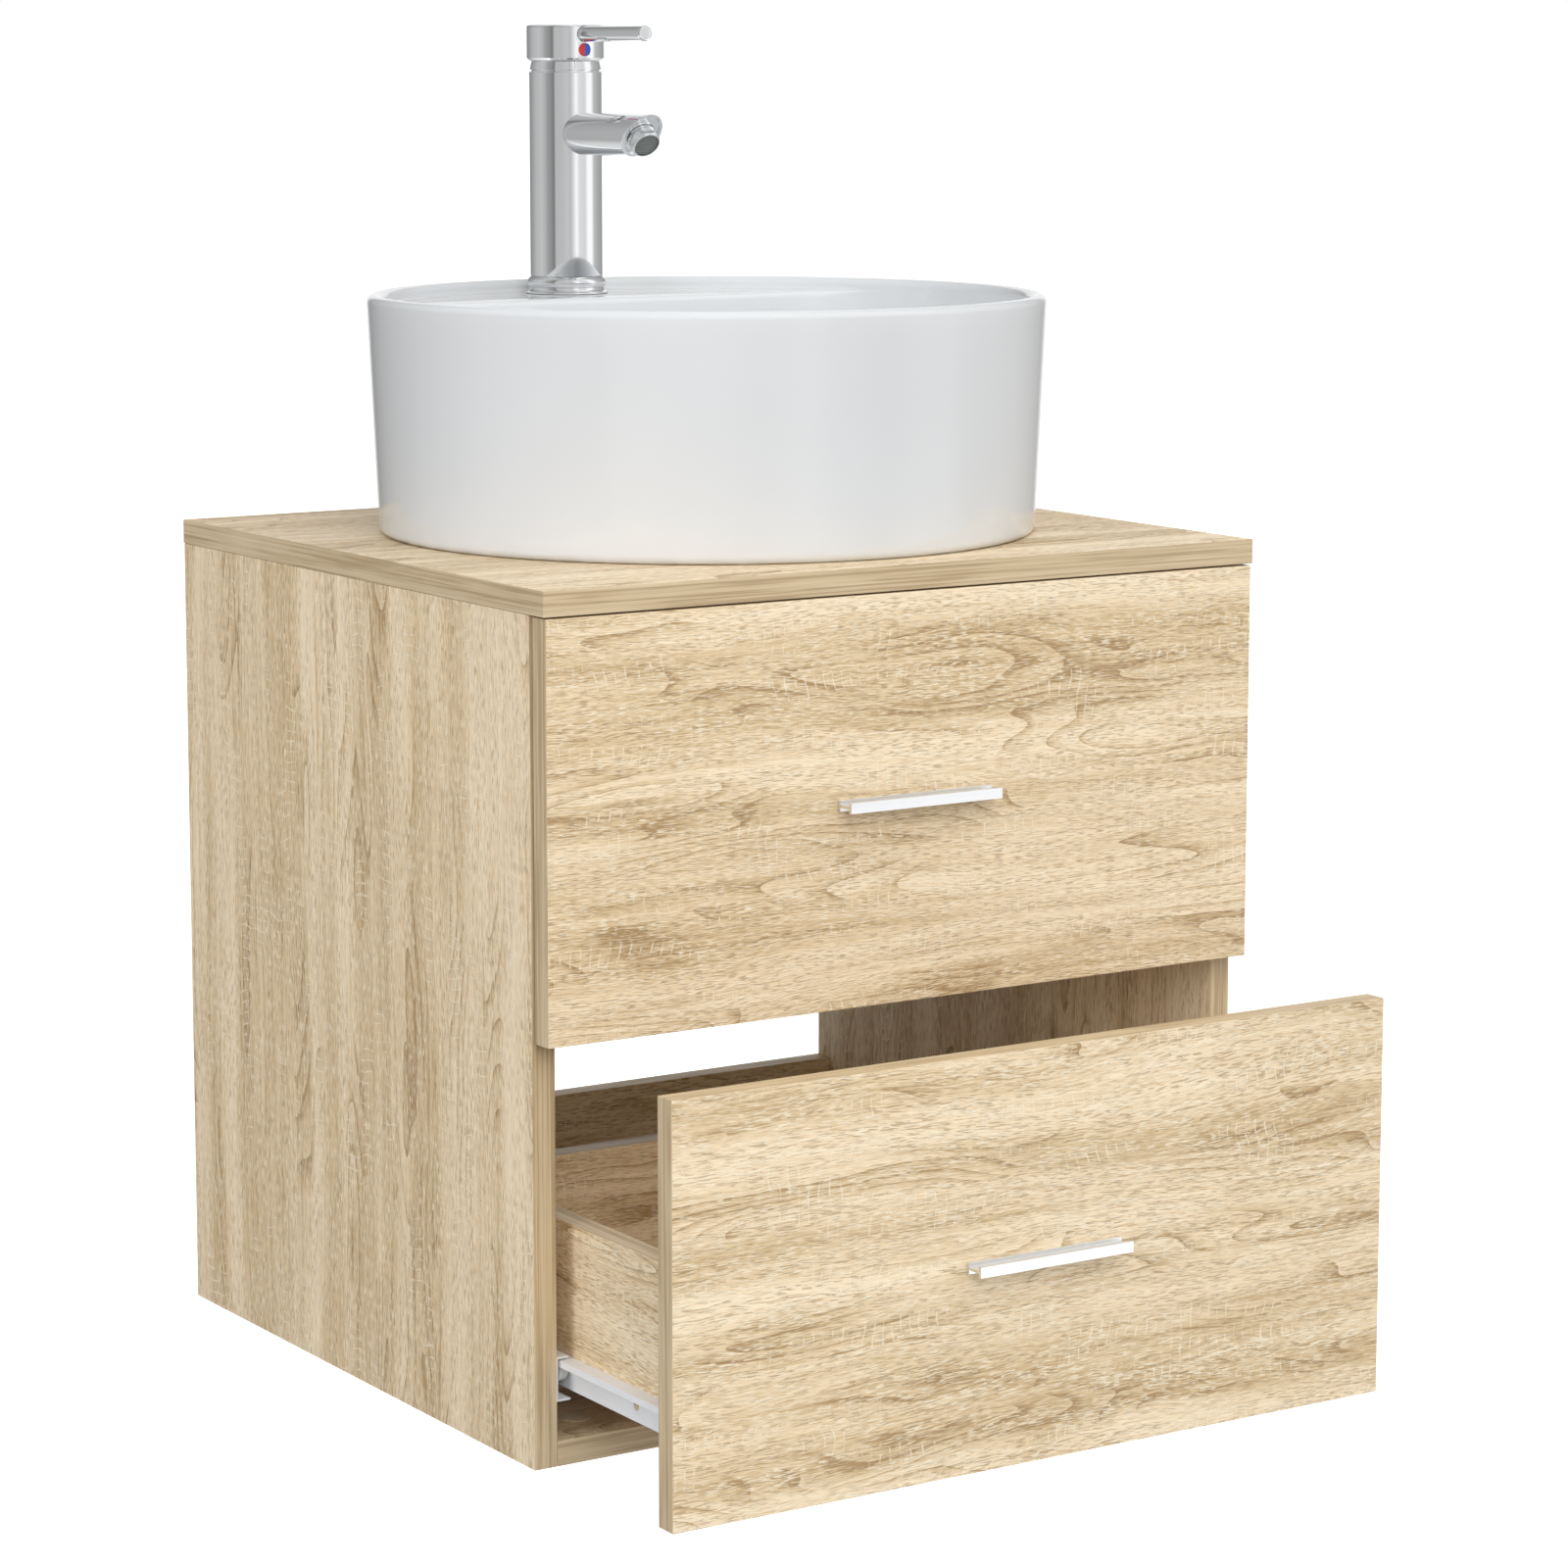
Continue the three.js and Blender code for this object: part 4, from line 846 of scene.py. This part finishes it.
def basinSection(angle):
    # one closed section from the waste's axis outwards in this direction, as (reach, height) in mm
    m = basinMake
    ahead = m["wasteAhead"]

    def circle(radius):
        return ahead * math.sin(angle) + math.sqrt(radius ** 2 - (ahead * math.cos(angle)) ** 2)

    bowl = circle(m["bowlRadius"])
    if math.sin(angle) > 0:  # cut off by the deck's front edge, with rounded corners
        edge, sharp = (m["deckFront"] + ahead) / math.sin(angle), m["cornerSharpness"]
        bowl = (bowl ** -sharp + edge ** -sharp) ** (-1 / sharp)
    inner, deck = circle(m["bowlRadius"]), m["deck"]
    ledge = inner - bowl
    fillet, nose = min(m["deckFillet"], ledge / 2), min(m["deckNose"], ledge / 2)
    foot, rim = m["footEdge"], m["rim"]
    line = [(circle(r), z) for r, z in arcPoints(m["baseRadius"] - foot, foot, foot, -90, 0, 7)]
    line += [(circle(r), z) for r, z in straight((m["baseRadius"], foot),
                                                 (m["topRadius"], m["height"] - rim), 12)]
    line += [(circle(r), z) for r, z in arcPoints(m["topRadius"] - rim, m["height"] - rim, rim, 0,
                                                  180, 18)[1:]]
    line += arcPoints(inner - fillet, deck + fillet, fillet, 0, -90, 6)
    line += straight(line[-1], (bowl + nose, deck), 6)
    line += arcPoints(bowl + nose, deck - nose, nose, 90, 180, 8)[1:]
    line += straight(line[-1], (bowl - m["draft"], m["wallFoot"]), 10)
    for i in range(1, 15):
        t = math.radians(90 * i / 14)
        line.append((bowl - m["draft"] - m["cornerWidth"] * (1 - math.cos(t)),
                     m["wallFoot"] - m["cornerDrop"] * math.sin(t)))
    lip = m["seatRound"]
    floorEdge, seat = line[-1], m["wasteSeat"] + lip
    for i in range(1, 11):
        t = i / 10
        line.append((floorEdge[0] + (seat - floorEdge[0]) * t,
                     m["floor"] + (floorEdge[1] - m["floor"]) * (1 - t) ** 1.3))
    line += arcPoints(seat, m["floor"] - lip, lip, 90, 180, 5)[1:]
    line += [(m["wasteSeat"], m["floor"] - m["seatDrop"]),
             (m["wasteHole"], m["floor"] - m["seatDrop"]), (m["wasteHole"], m["foot"])]
    # the hollow underneath: a boss round the waste, a bend, then up beside the bowl's wall
    shell = [(m["wasteHole"], m["foot"]), (m["underBoss"], m["foot"])]
    inside, wide, up, tall = m["underBend"]
    shell += [(bowl - inside + wide * math.sin(t), up - tall * math.cos(t))
              for t in [math.radians(15 * i) for i in range(7)]]
    shell += straight(shell[-1], (bowl + m["underWall"], m["hollowTop"]), 12)
    kept = [shell[0]]
    for reach, z in shell[1:]:
        cone = circle(m["coneFoot"] + (m["coneTop"] - m["coneFoot"]) * z / m["hollowTop"])
        if reach > cone - 3:
            break
        kept.append((reach, z))
    line += resample(kept, 16)[1:]
    top = kept[-1][1]
    cone = circle(m["coneFoot"] + (m["coneTop"] - m["coneFoot"]) * top / m["hollowTop"])
    line += [(cone, top)] + straight((cone, top), (circle(m["coneFoot"]), 0), 6)
    return line + line[:1]


def glazedBasin():
    # a flat sheet of quads wrapped round the section in each direction, as the bowl isn't round
    m = basinMake
    low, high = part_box("basin")
    wasteY = (low.y + high.y) / 2 - m["wasteAhead"] * mm
    steps = m["steps"]
    sections = [basinSection(2 * math.pi * i / steps) for i in range(steps)]
    rows = len(sections[0]) - 1
    clearSelection()
    bpy.ops.mesh.primitive_grid_add(x_subdivisions=steps, y_subdivisions=rows, size=1)
    item = nameNew("GlazedBasin")
    for corner in item.data.vertices:
        u, v = round((corner.co.x + 0.5) * steps) % steps, round((corner.co.y + 0.5) * rows)
        angle = 2 * math.pi * u / steps
        reach, z = sections[u][v]
        corner.co = (reach * mm * math.cos(angle), wasteY + reach * mm * math.sin(angle),
                     low.z + z * mm)
    makeActive(item)
    bpy.ops.object.mode_set(mode="EDIT")
    closeShape()
    tapLow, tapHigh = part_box("tap_foot")
    tapY = (tapLow.y + tapHigh.y) / 2
    cutAway(item, addRound("hole", (0, tapY, tapLow.z - 20 * mm), (0, tapY, tapLow.z + 5 * mm),
                           m["tapHole"] * mm))
    makeActive(item)
    bpy.ops.object.shade_smooth_by_angle(angle=math.radians(40))
    return finishPiece(item, "cabinet", "basin", chinaGlaze)


glazedBasin()
print("basin done")


# waste

wasteMake = {
    "bore": 18.5, "tube": 21.5, "flange": 32, "length": 75, "flangeThick": 3, "threadEnd": -24,
    "threadPitch": 2.3, "threadDeep": 0.75, "plug": 31.5, "plugCrown": 1.7, "plugLow": 0.4,
    "spiderArm": 19, "spiderHalf": 2.6, "spiderLow": -30, "spiderTop": -24, "guide": 9.6,
    "guideBore": 6.3,
}
wasteLow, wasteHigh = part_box("waste_body")
wasteAt = Vector(((wasteLow.x + wasteHigh.x) / 2, (wasteLow.y + wasteHigh.y) / 2, wasteHigh.z))


def wasteTube():
    m = wasteMake
    profile = [(m["bore"], -m["length"]), (m["tube"], -m["length"])]
    z, root = -m["length"] + 0.8, m["tube"] - m["threadDeep"]
    while z < m["threadEnd"]:  # pipe thread, as rings
        profile += [(root, z), (root, z + 0.5), (m["tube"], z + 1.15), (m["tube"], z + 1.7)]
        z += m["threadPitch"]
    under = -m["flangeThick"]
    profile += [(m["tube"], under), (m["flange"], under), (m["flange"], -1.8),
                *arcPoints(m["flange"] - 2, -1.9, 1.9, 10, 90, 6),
                (m["bore"] + 2.4, 0), *arcPoints(m["bore"] + 2.0, -2.0, 2.0, 90, 180, 5),
                (m["bore"], -m["length"])]
    chromed(turnedPiece("WasteTube", profile, wasteAt, steps=96), "cabinet", "waste_body", 35)

    # a cross bar wider at its ends, with a bored guide for the plug's stem
    arm, half, low, top = (m[k] for k in ("spiderArm", "spiderHalf", "spiderLow", "spiderTop"))
    spider = addBlock("WasteSpider", wasteAt + Vector((-arm, -half, low)) * mm,
                      wasteAt + Vector((arm, half, top)) * mm)
    pick(spider, "FACE", lambda at, normal: abs(normal.x) > 0.9)
    bpy.ops.transform.resize(value=(1, 1.25, 1.15),
                             center_override=wasteAt + Vector((0, 0, (low + top) / 2)) * mm)
    bpy.ops.object.mode_set(mode="OBJECT")
    guide, bore = [addRound("guide", wasteAt + Vector((0, 0, low - past)) * mm,
                            wasteAt + Vector((0, 0, top + past)) * mm, m[size] * mm)
                   for past, size in ((0.5, "guide"), (2, "guideBore"))]
    applyModifier(spider, "BOOLEAN", object=guide, operation="UNION", solver="MANIFOLD")
    bpy.data.objects.remove(guide, do_unlink=True)
    cutAway(spider, bore)
    roundEdges(spider, 0.4, 2, 50)
    chromed(spider, "cabinet", angle=35)


def wastePlug():
    low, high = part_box("waste_plug")
    m = wasteMake
    top, tip = (high.z - wasteAt.z) / mm, (low.z - wasteAt.z) / mm
    r, under = m["plug"], m["plugLow"]
    crown = [(r - 2.4 - (r - 2.4) * i / 14, top - m["plugCrown"] * ((14 - i) / 14) ** 2)
             for i in range(15)]
    profile = [(0, tip), (6, tip), (6, -6), (12, under), (r - 1, under),
               *arcPoints(r - 1.3, 1.7, 1.3, -80, 40, 6), *crown]
    chromed(turnedPiece("WastePlug", profile, wasteAt, steps=96), "waste_plug", "waste_plug", 35)


wasteTube()
wastePlug()
print("waste done")


# tap, in mm above the deck with its spout towards the front

tapMake = {
    "body": 23.5, "foot": 27, "footHigh": 11, "bodyTop": 142.5, "capLow": 149.5, "capTop": 172.5,
    "cap": 25, "footBore": 16.5, "bodyBore": 18.5, "collarBore": 15.8,
    "lever": 5, "leverReach": 100, "leverZ": 166.5, "spout": 13.5, "spoutZ": 103, "spoutReach": 96,
    "spoutTilt": 40, "spoutArris": 0.9, "pivot": 137.5, "pivotUp": 12, "markZ": 156.5, "mark": 4.2,
    "fit": 0.25, "pocket": 9.8, "sleeve": 9.4, "sleeveBore": 8.3, "ribs": 96, "ribDeep": 0.28,
    "mesh": 17.4, "meshAt": 6.6, "meshRadius": 8.0, "meshWire": 0.5, "steps": 128,
}
tapLow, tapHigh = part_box("tap_foot")
tapAt = Vector(((tapLow.x + tapHigh.x) / 2, (tapLow.y + tapHigh.y) / 2, tapLow.z - 0.1 * mm))
spoutTilt = math.radians(tapMake["spoutTilt"])
spoutFacing = Vector((0, -math.cos(spoutTilt), -math.sin(spoutTilt)))
spoutDown = Vector((0, math.sin(spoutTilt), -math.cos(spoutTilt)))


def tapPoint(x, y, z):
    return tapAt + Vector((x, y, z)) * mm


def tapColumn():
    m = tapMake
    r, foot, high, bore, steps = (m[k] for k in ("body", "foot", "footHigh", "footBore", "steps"))
    # a foot ring that flares out, with a bead above
    flare = [(foot - 2.6 * math.sin(a), 1.3 + 2.4 * (1 - math.cos(a)))
             for a in [math.radians(15 * i) for i in range(1, 7)]]
    bead = [(r + 0.2 + 1.9 * math.cos(a), 7.1 + 3.2 * math.sin(a))
            for a in [math.radians(-75 + 15 * i) for i in range(11)]]
    profile = [(bore, 0.1), (foot - 0.5, 0.1), *arcPoints(foot - 0.5, 0.6, 0.5, -90, 0, 4),
               (foot, 1.3), *flare, *bead, (r + 0.1, high), (bore, high), (bore, 0.1)]
    chromed(turnedPiece("TapFootRing", profile, tapAt, steps=steps), "cabinet", "tap_foot")

    top, bore, low = m["bodyTop"], m["bodyBore"], high + 0.1
    profile = [(bore, low), (r - 0.4, low), (r, low + 0.4),
               *straight((r, low + 0.4), (r, top - 0.6), 12),
               *arcPoints(r - 0.6, top - 0.6, 0.6, 0, 90, 4), (bore, top), (bore, low)]
    chromed(turnedPiece("TapColumn", profile, tapAt, steps=steps), "cabinet", "tap_body")

    # a collar with a dome round the pivot, which the cap tilts over
    pivot, up, neck, bore = m["pivot"], m["pivotUp"], r - 1.5, m["collarBore"]
    dome = math.hypot(neck, up)
    start, end = math.degrees(math.atan2(up, neck)), math.degrees(math.asin((dome - 7) / dome))
    profile = [(bore, top - 8), (18.2, top - 8), (18.2, top + 0.1), (r - 1.4, top + 0.1),
               (neck, top + 0.9), (r - 0.6, top + 1.3), (r - 0.5, top + 1.8),
               (neck, m["capLow"] - 0.4), *arcPoints(0, pivot, dome, start, end, 12),
               (dome - 11, pivot + dome - 7), (dome - 11, pivot + dome - 9),
               (bore, pivot + dome - 10), (bore, top - 8)]
    chromed(turnedPiece("TapCollar", profile, tapAt, steps=steps), "cabinet", "tap_collar")


def tapSpout():
    m = tapMake
    r, z = m["spout"], m["spoutZ"]
    arm = addRound("TapSpoutArm", tapPoint(0, -19, z), tapPoint(0, -m["spoutReach"] - 24, z),
                   r * mm, m["steps"])
    pick(arm, "FACE", lambda at, normal: True)
    bpy.ops.mesh.bisect(plane_co=tapPoint(0, -m["spoutReach"], z), plane_no=spoutFacing,
                        use_fill=True, clear_outer=True)
    bpy.ops.object.mode_set(mode="OBJECT")
    pick(arm, "FACE", lambda at, normal: normal.dot(spoutFacing) > 0.95)
    bpy.ops.mesh.bevel(offset=m["spoutArris"] * mm, segments=4, affect="EDGES")
    bpy.ops.object.mode_set(mode="OBJECT")
    pick(arm, "FACE", lambda at, normal: normal.dot(spoutFacing) > 0.999)
    bpy.ops.mesh.inset(thickness=1.3 * mm)
    bpy.ops.mesh.inset(thickness=0.35 * mm, depth=-0.35 * mm)
    bpy.ops.mesh.inset(thickness=0.1 * mm, depth=-1.0 * mm)
    bpy.ops.object.mode_set(mode="OBJECT")
    middle = tapPoint(0, -m["spoutReach"], z) + spoutDown * 1.5 * mm
    cutAway(arm, addRound("pocket", middle - spoutFacing * 6.3 * mm, middle + spoutFacing * 5 * mm,
                          m["pocket"] * mm, 96))
    chromed(arm, "cabinet", "tap_spout")

    # the aerator: a knurled sleeve with a groove below its collar, a mesh and a plate behind it
    bore, outer = m["sleeveBore"], m["sleeve"]
    groove = outer - 0.4
    profile = [(bore, -6), (outer, -6), (outer, 0.4), (groove, 0.6), (groove, 1.2), (outer, 1.4),
               (outer, 6.8), (groove, 7.2), *arcPoints(8.75, 7.65, 0.35, 0, 110, 4), (bore, 7.8),
               (bore, -6)]
    sleeve = turnedPiece("AeratorSleeve", profile, middle, spoutFacing, m["ribs"])

    def onKnurl(at, normal):
        out = (at - middle).dot(spoutFacing)
        flat = (at - middle) - spoutFacing * out
        turn = math.atan2(flat.dot(spoutDown), flat.x)
        rib = round(turn / (2 * math.pi) * m["ribs"] - 0.5)
        return 1.5 < out / mm < 6.7 and flat.length > (outer - 0.2) * mm and rib % 2 == 0

    pick(sleeve, "FACE", onKnurl)
    bpy.ops.mesh.inset(thickness=0.06 * mm, depth=-m["ribDeep"] * mm, use_individual=True)
    bpy.ops.object.mode_set(mode="OBJECT")
    chromed(sleeve, "cabinet", "aerator_sleeve")

    clearSelection()
    meshMiddle = middle + spoutFacing * m["meshAt"] * mm
    bpy.ops.mesh.primitive_grid_add(x_subdivisions=13, y_subdivisions=13, size=m["mesh"] * mm,
                                    rotation=spoutFacing.to_track_quat("Z", "Y").to_euler(),
                                    location=meshMiddle)
    grille = nameNew("AeratorGrille")
    pick(grille, "FACE", lambda at, normal: (at - meshMiddle).length > m["meshRadius"] * mm)
    bpy.ops.mesh.delete(type="FACE")
    bpy.ops.object.mode_set(mode="OBJECT")
    applyModifier(grille, "WIREFRAME", thickness=m["meshWire"] * mm, use_boundary=True,
                  use_replace=True)
    profile = [(0, 4.2), (8.0, 4.2), (8.0, 5.2), (7.0, 5.2), (6.6, 4.9), (0, 4.9)]
    plate = turnedPiece("AeratorPlate", profile, middle, spoutFacing, 48)
    for item, node in ((grille, "aerator_mesh"), (plate, ())):
        smoothen(item, 30)
        finishPiece(item, "cabinet", node, meshPlastic)


def tapHandle():
    m = tapMake
    r, low, top = m["cap"], m["capLow"], m["capTop"]
    ceiling = m["pivot"] + math.hypot(m["body"] - 1.5, m["pivotUp"]) + 0.5  # clear of the dome
    crown = [(r - 1.6 - (r - 1.6) * i / 10, top - 0.35 * ((10 - i) / 10) ** 2) for i in range(11)]
    profile = [(0, ceiling), (r - 2.6, ceiling), (r - 2, ceiling - 0.6), (r - 2, low + 0.2),
               (r - 1.7, low), *straight((r - 1.5, low), (r, low + 1.7), 3),
               *straight((r, low + 1.7), (r, top - 1.4), 8),
               *arcPoints(r - 1.3, top - 1.65, 1.3, 0, 90, 8), *crown[1:]]
    item = turnedPiece("HandleCap", profile, tapAt, steps=m["steps"])
    cutters = [addRound("cutter", tapPoint(0, -start, m[size + "Z"]),
                        tapPoint(0, -r - 2, m[size + "Z"]), (m[size] + m["fit"]) * mm, 64)
               for size, start in (("lever", 13.7), ("mark", r - 0.85))]
    cutAway(item, *cutters)
    chromed(item, "tap_handle", "handle_cap")

    lever, reach, root = m["lever"], m["leverReach"], 14
    profile = [(0, root), (lever - 0.4, root), (lever, root + 0.4),
               *straight((lever, root + 0.4), (lever, reach - 1.6), 10),
               *arcPoints(lever - 1.6, reach - 1.6, 1.6, 0, 80, 7), (lever - 3.2, reach),
               (0, reach)]
    chromed(turnedPiece("HandleLever", profile, tapPoint(0, 0, m["leverZ"]), (0, -1, 0), 64),
            "tap_handle", "handle_lever")

    mark = m["mark"]
    profile = [(0, r - 0.7), (mark, r - 0.7), (mark, r - 0.25), (mark - 0.25, r - 0.05),
               (mark - 1.2, r), (0, r + 0.05)]
    for name, node, side, finish, slotName in (
            ("HotMark", "hot_mark", -1, hotEnamel, "hot_red"),
            ("ColdMark", "cold_mark", 1, coldEnamel, "cold_blue")):
        item = turnedPiece(name, profile, tapPoint(0, 0, m["markZ"]), (0, -1, 0), 48)
        pick(item, "FACE", lambda at, normal: True)
        bpy.ops.mesh.bisect(plane_co=tapPoint(side * 0.06, 0, 0), plane_no=(-side, 0, 0),
                            use_fill=True, clear_outer=True)
        bpy.ops.object.mode_set(mode="OBJECT")
        smoothen(item, 30)
        finishPiece(item, "tap_handle", node, finish)


tapColumn()
tapSpout()
tapHandle()
print("tap done")


# parts of the frame that stay as they are, with a real finish

kept = {
    "tap_washer": zincPlate, "tap_stud": turnedBrass, "tap_nut": turnedBrass,
    "tap_stem": turnedBrass, "tap_guide_disc": turnedBrass, "tap_cartridge": rollerNylon,
    "waste_gasket": gasketRubber, "waste_nut": nutPlastic,
}
for node, finish in kept.items():
    item = frame["nodes"][node]
    if item.material_slots:
        item.material_slots[0].material = finish
    else:
        item.data.materials.append(finish)


# camera, floor and light

studio = {
    "aim": (0.0394, 0.07275, 0.3937), "distance": 2.888, "azimuth": -32.65, "elevation": 8.23,
    "lens": 105.0, "shiftX": 0.015, "shiftY": -0.05, "sensor": 36, "clipEnd": 200,
    "floorSize": 300, "floorDrop": 0.342, "floorGlow": 0.62, "world": 1.0, "worldTurn": 122.65,
}
azimuth, elevation = math.radians(studio["azimuth"]), math.radians(studio["elevation"])
back = Vector((math.sin(azimuth) * math.cos(elevation), -math.cos(azimuth) * math.cos(elevation),
               math.sin(elevation)))
clearSelection()
bpy.ops.object.camera_add(location=Vector(studio["aim"]) + back * studio["distance"],
                          rotation=(-back).to_track_quat("-Z", "Y").to_euler())
camera = bpy.context.object
camera.data.lens, camera.data.sensor_width = studio["lens"], studio["sensor"]
camera.data.shift_x, camera.data.shift_y = studio["shiftX"], studio["shiftY"]
camera.data.clip_end = studio["clipEnd"]
bpy.context.scene.camera = camera

clearSelection()
bpy.ops.mesh.primitive_plane_add(size=studio["floorSize"], location=(0, 0, -studio["floorDrop"]))
floor = nameNew("StudioFloor")
paint = speckled("paintedFloor", ("f4f4f4", "f7f7f7"), 3.0, 0.05, (0.75, 0.85), IOR=1.45,
                 Emission_Color=(1, 1, 1, 1), Emission_Strength=studio["floorGlow"])
floor.data.materials.append(paint)
floor.visible_glossy = floor.visible_diffuse = False  # the surround lights the object from below

for name, spot, size, power, tint in (
        ("keyLight", (-1.2, -3.2, 2.2), 2.2, 60, "ffffff"),
        ("leftLight", (-3.5, -0.8, 1.2), 1.6, 50, "fbfcff")):
    aim = Vector((0, 0, 0.4)) - Vector(spot)
    bpy.ops.object.light_add(type="AREA", location=spot,
                             rotation=aim.to_track_quat("-Z", "Y").to_euler())
    light = bpy.context.object
    light.name = name
    light.data.shape, light.data.size, light.data.size_y = "RECTANGLE", size, size * 1.3
    light.data.energy = power
    light.data.color = shade(tint)[:3]
    light.visible_glossy = False

# soft studio surround: white to the camera, with grey panels for the polished metal to show
surround = bpy.data.worlds.new("studioSurround")
bpy.context.scene.world = surround
surround.use_nodes = True
air = surround.node_tree
air.nodes.clear()
direction = addNode(air, "TexCoord").outputs["Generated"]
turned = addNode(air, "Mapping", {"Rotation": (0, 0, math.radians(studio["worldTurn"]))},
                 {"Vector": direction})
round360 = addNode(air, "TexGradient", {"gradient_type": "RADIAL"}, {"Vector": turned})
panels = addNode(air, "ValToRGB", {"stops": [
    (0.0, 0.95), (0.035, 0.95), (0.055, 0.22), (0.15, 0.42), (0.2, 0.54), (0.27, 0.61),
    (0.31, 0.52), (0.34, 0.38), (0.37, 0.33), (0.392, 0.24), (0.402, 0.26), (0.416, 0.56),
    (0.47, 0.57), (0.52, 0.64), (0.548, 0.58), (0.573, 0.84), (0.599, 1.16), (0.626, 0.84),
    (0.68, 0.78), (0.712, 1.16), (0.75, 1.16), (0.785, 0.58), (0.834, 0.48), (0.90, 0.38),
    (0.945, 0.36), (0.965, 0.95), (1.0, 0.95)]}, {0: round360})
height = addNode(air, "SeparateXYZ", {}, {0: direction}).outputs[2]
below = addNode(air, "MapRange", {1: -0.25, 2: -0.5, 3: 1.0, 4: 2.3}, {0: height})
panels = addNode(air, "Mix", {"data_type": "RGBA", "blend_type": "MULTIPLY", 0: 1.0},
                 {6: panels, 7: below})
# what lights the mat surfaces: softer, brightest overhead and dim behind
soft = addNode(air, "ValToRGB", {"stops": [
    (0.0, 0.14), (0.16, 0.20), (0.3, 0.30), (0.5, 0.34), (0.66, 0.60), (0.80, 1.05),
    (0.90, 0.24), (1.0, 0.14)]}, {0: round360})
ceiling = addNode(air, "MapRange", {1: -0.1, 2: 1.0, 3: 0.85, 4: 2.4}, {0: height})
soft = addNode(air, "Mix", {"data_type": "RGBA", "blend_type": "MULTIPLY", 0: 1.0},
               {6: soft, 7: ceiling})
ray = addNode(air, "LightPath")
seen = addNode(air, "Mix", {"data_type": "RGBA"},
               {0: ray.outputs["Is Glossy Ray"], 6: soft, 7: panels})
seen = addNode(air, "Mix", {"data_type": "RGBA", 7: (1, 1, 1, 1)},
               {0: ray.outputs["Is Camera Ray"], 6: seen})
light = addNode(air, "Background", {"Strength": studio["world"]}, {"Color": seen})
addNode(air, "OutputWorld", {}, {"Surface": light})
bpy.context.scene.view_settings.view_transform = "Standard"
print("camera, floor and light done")
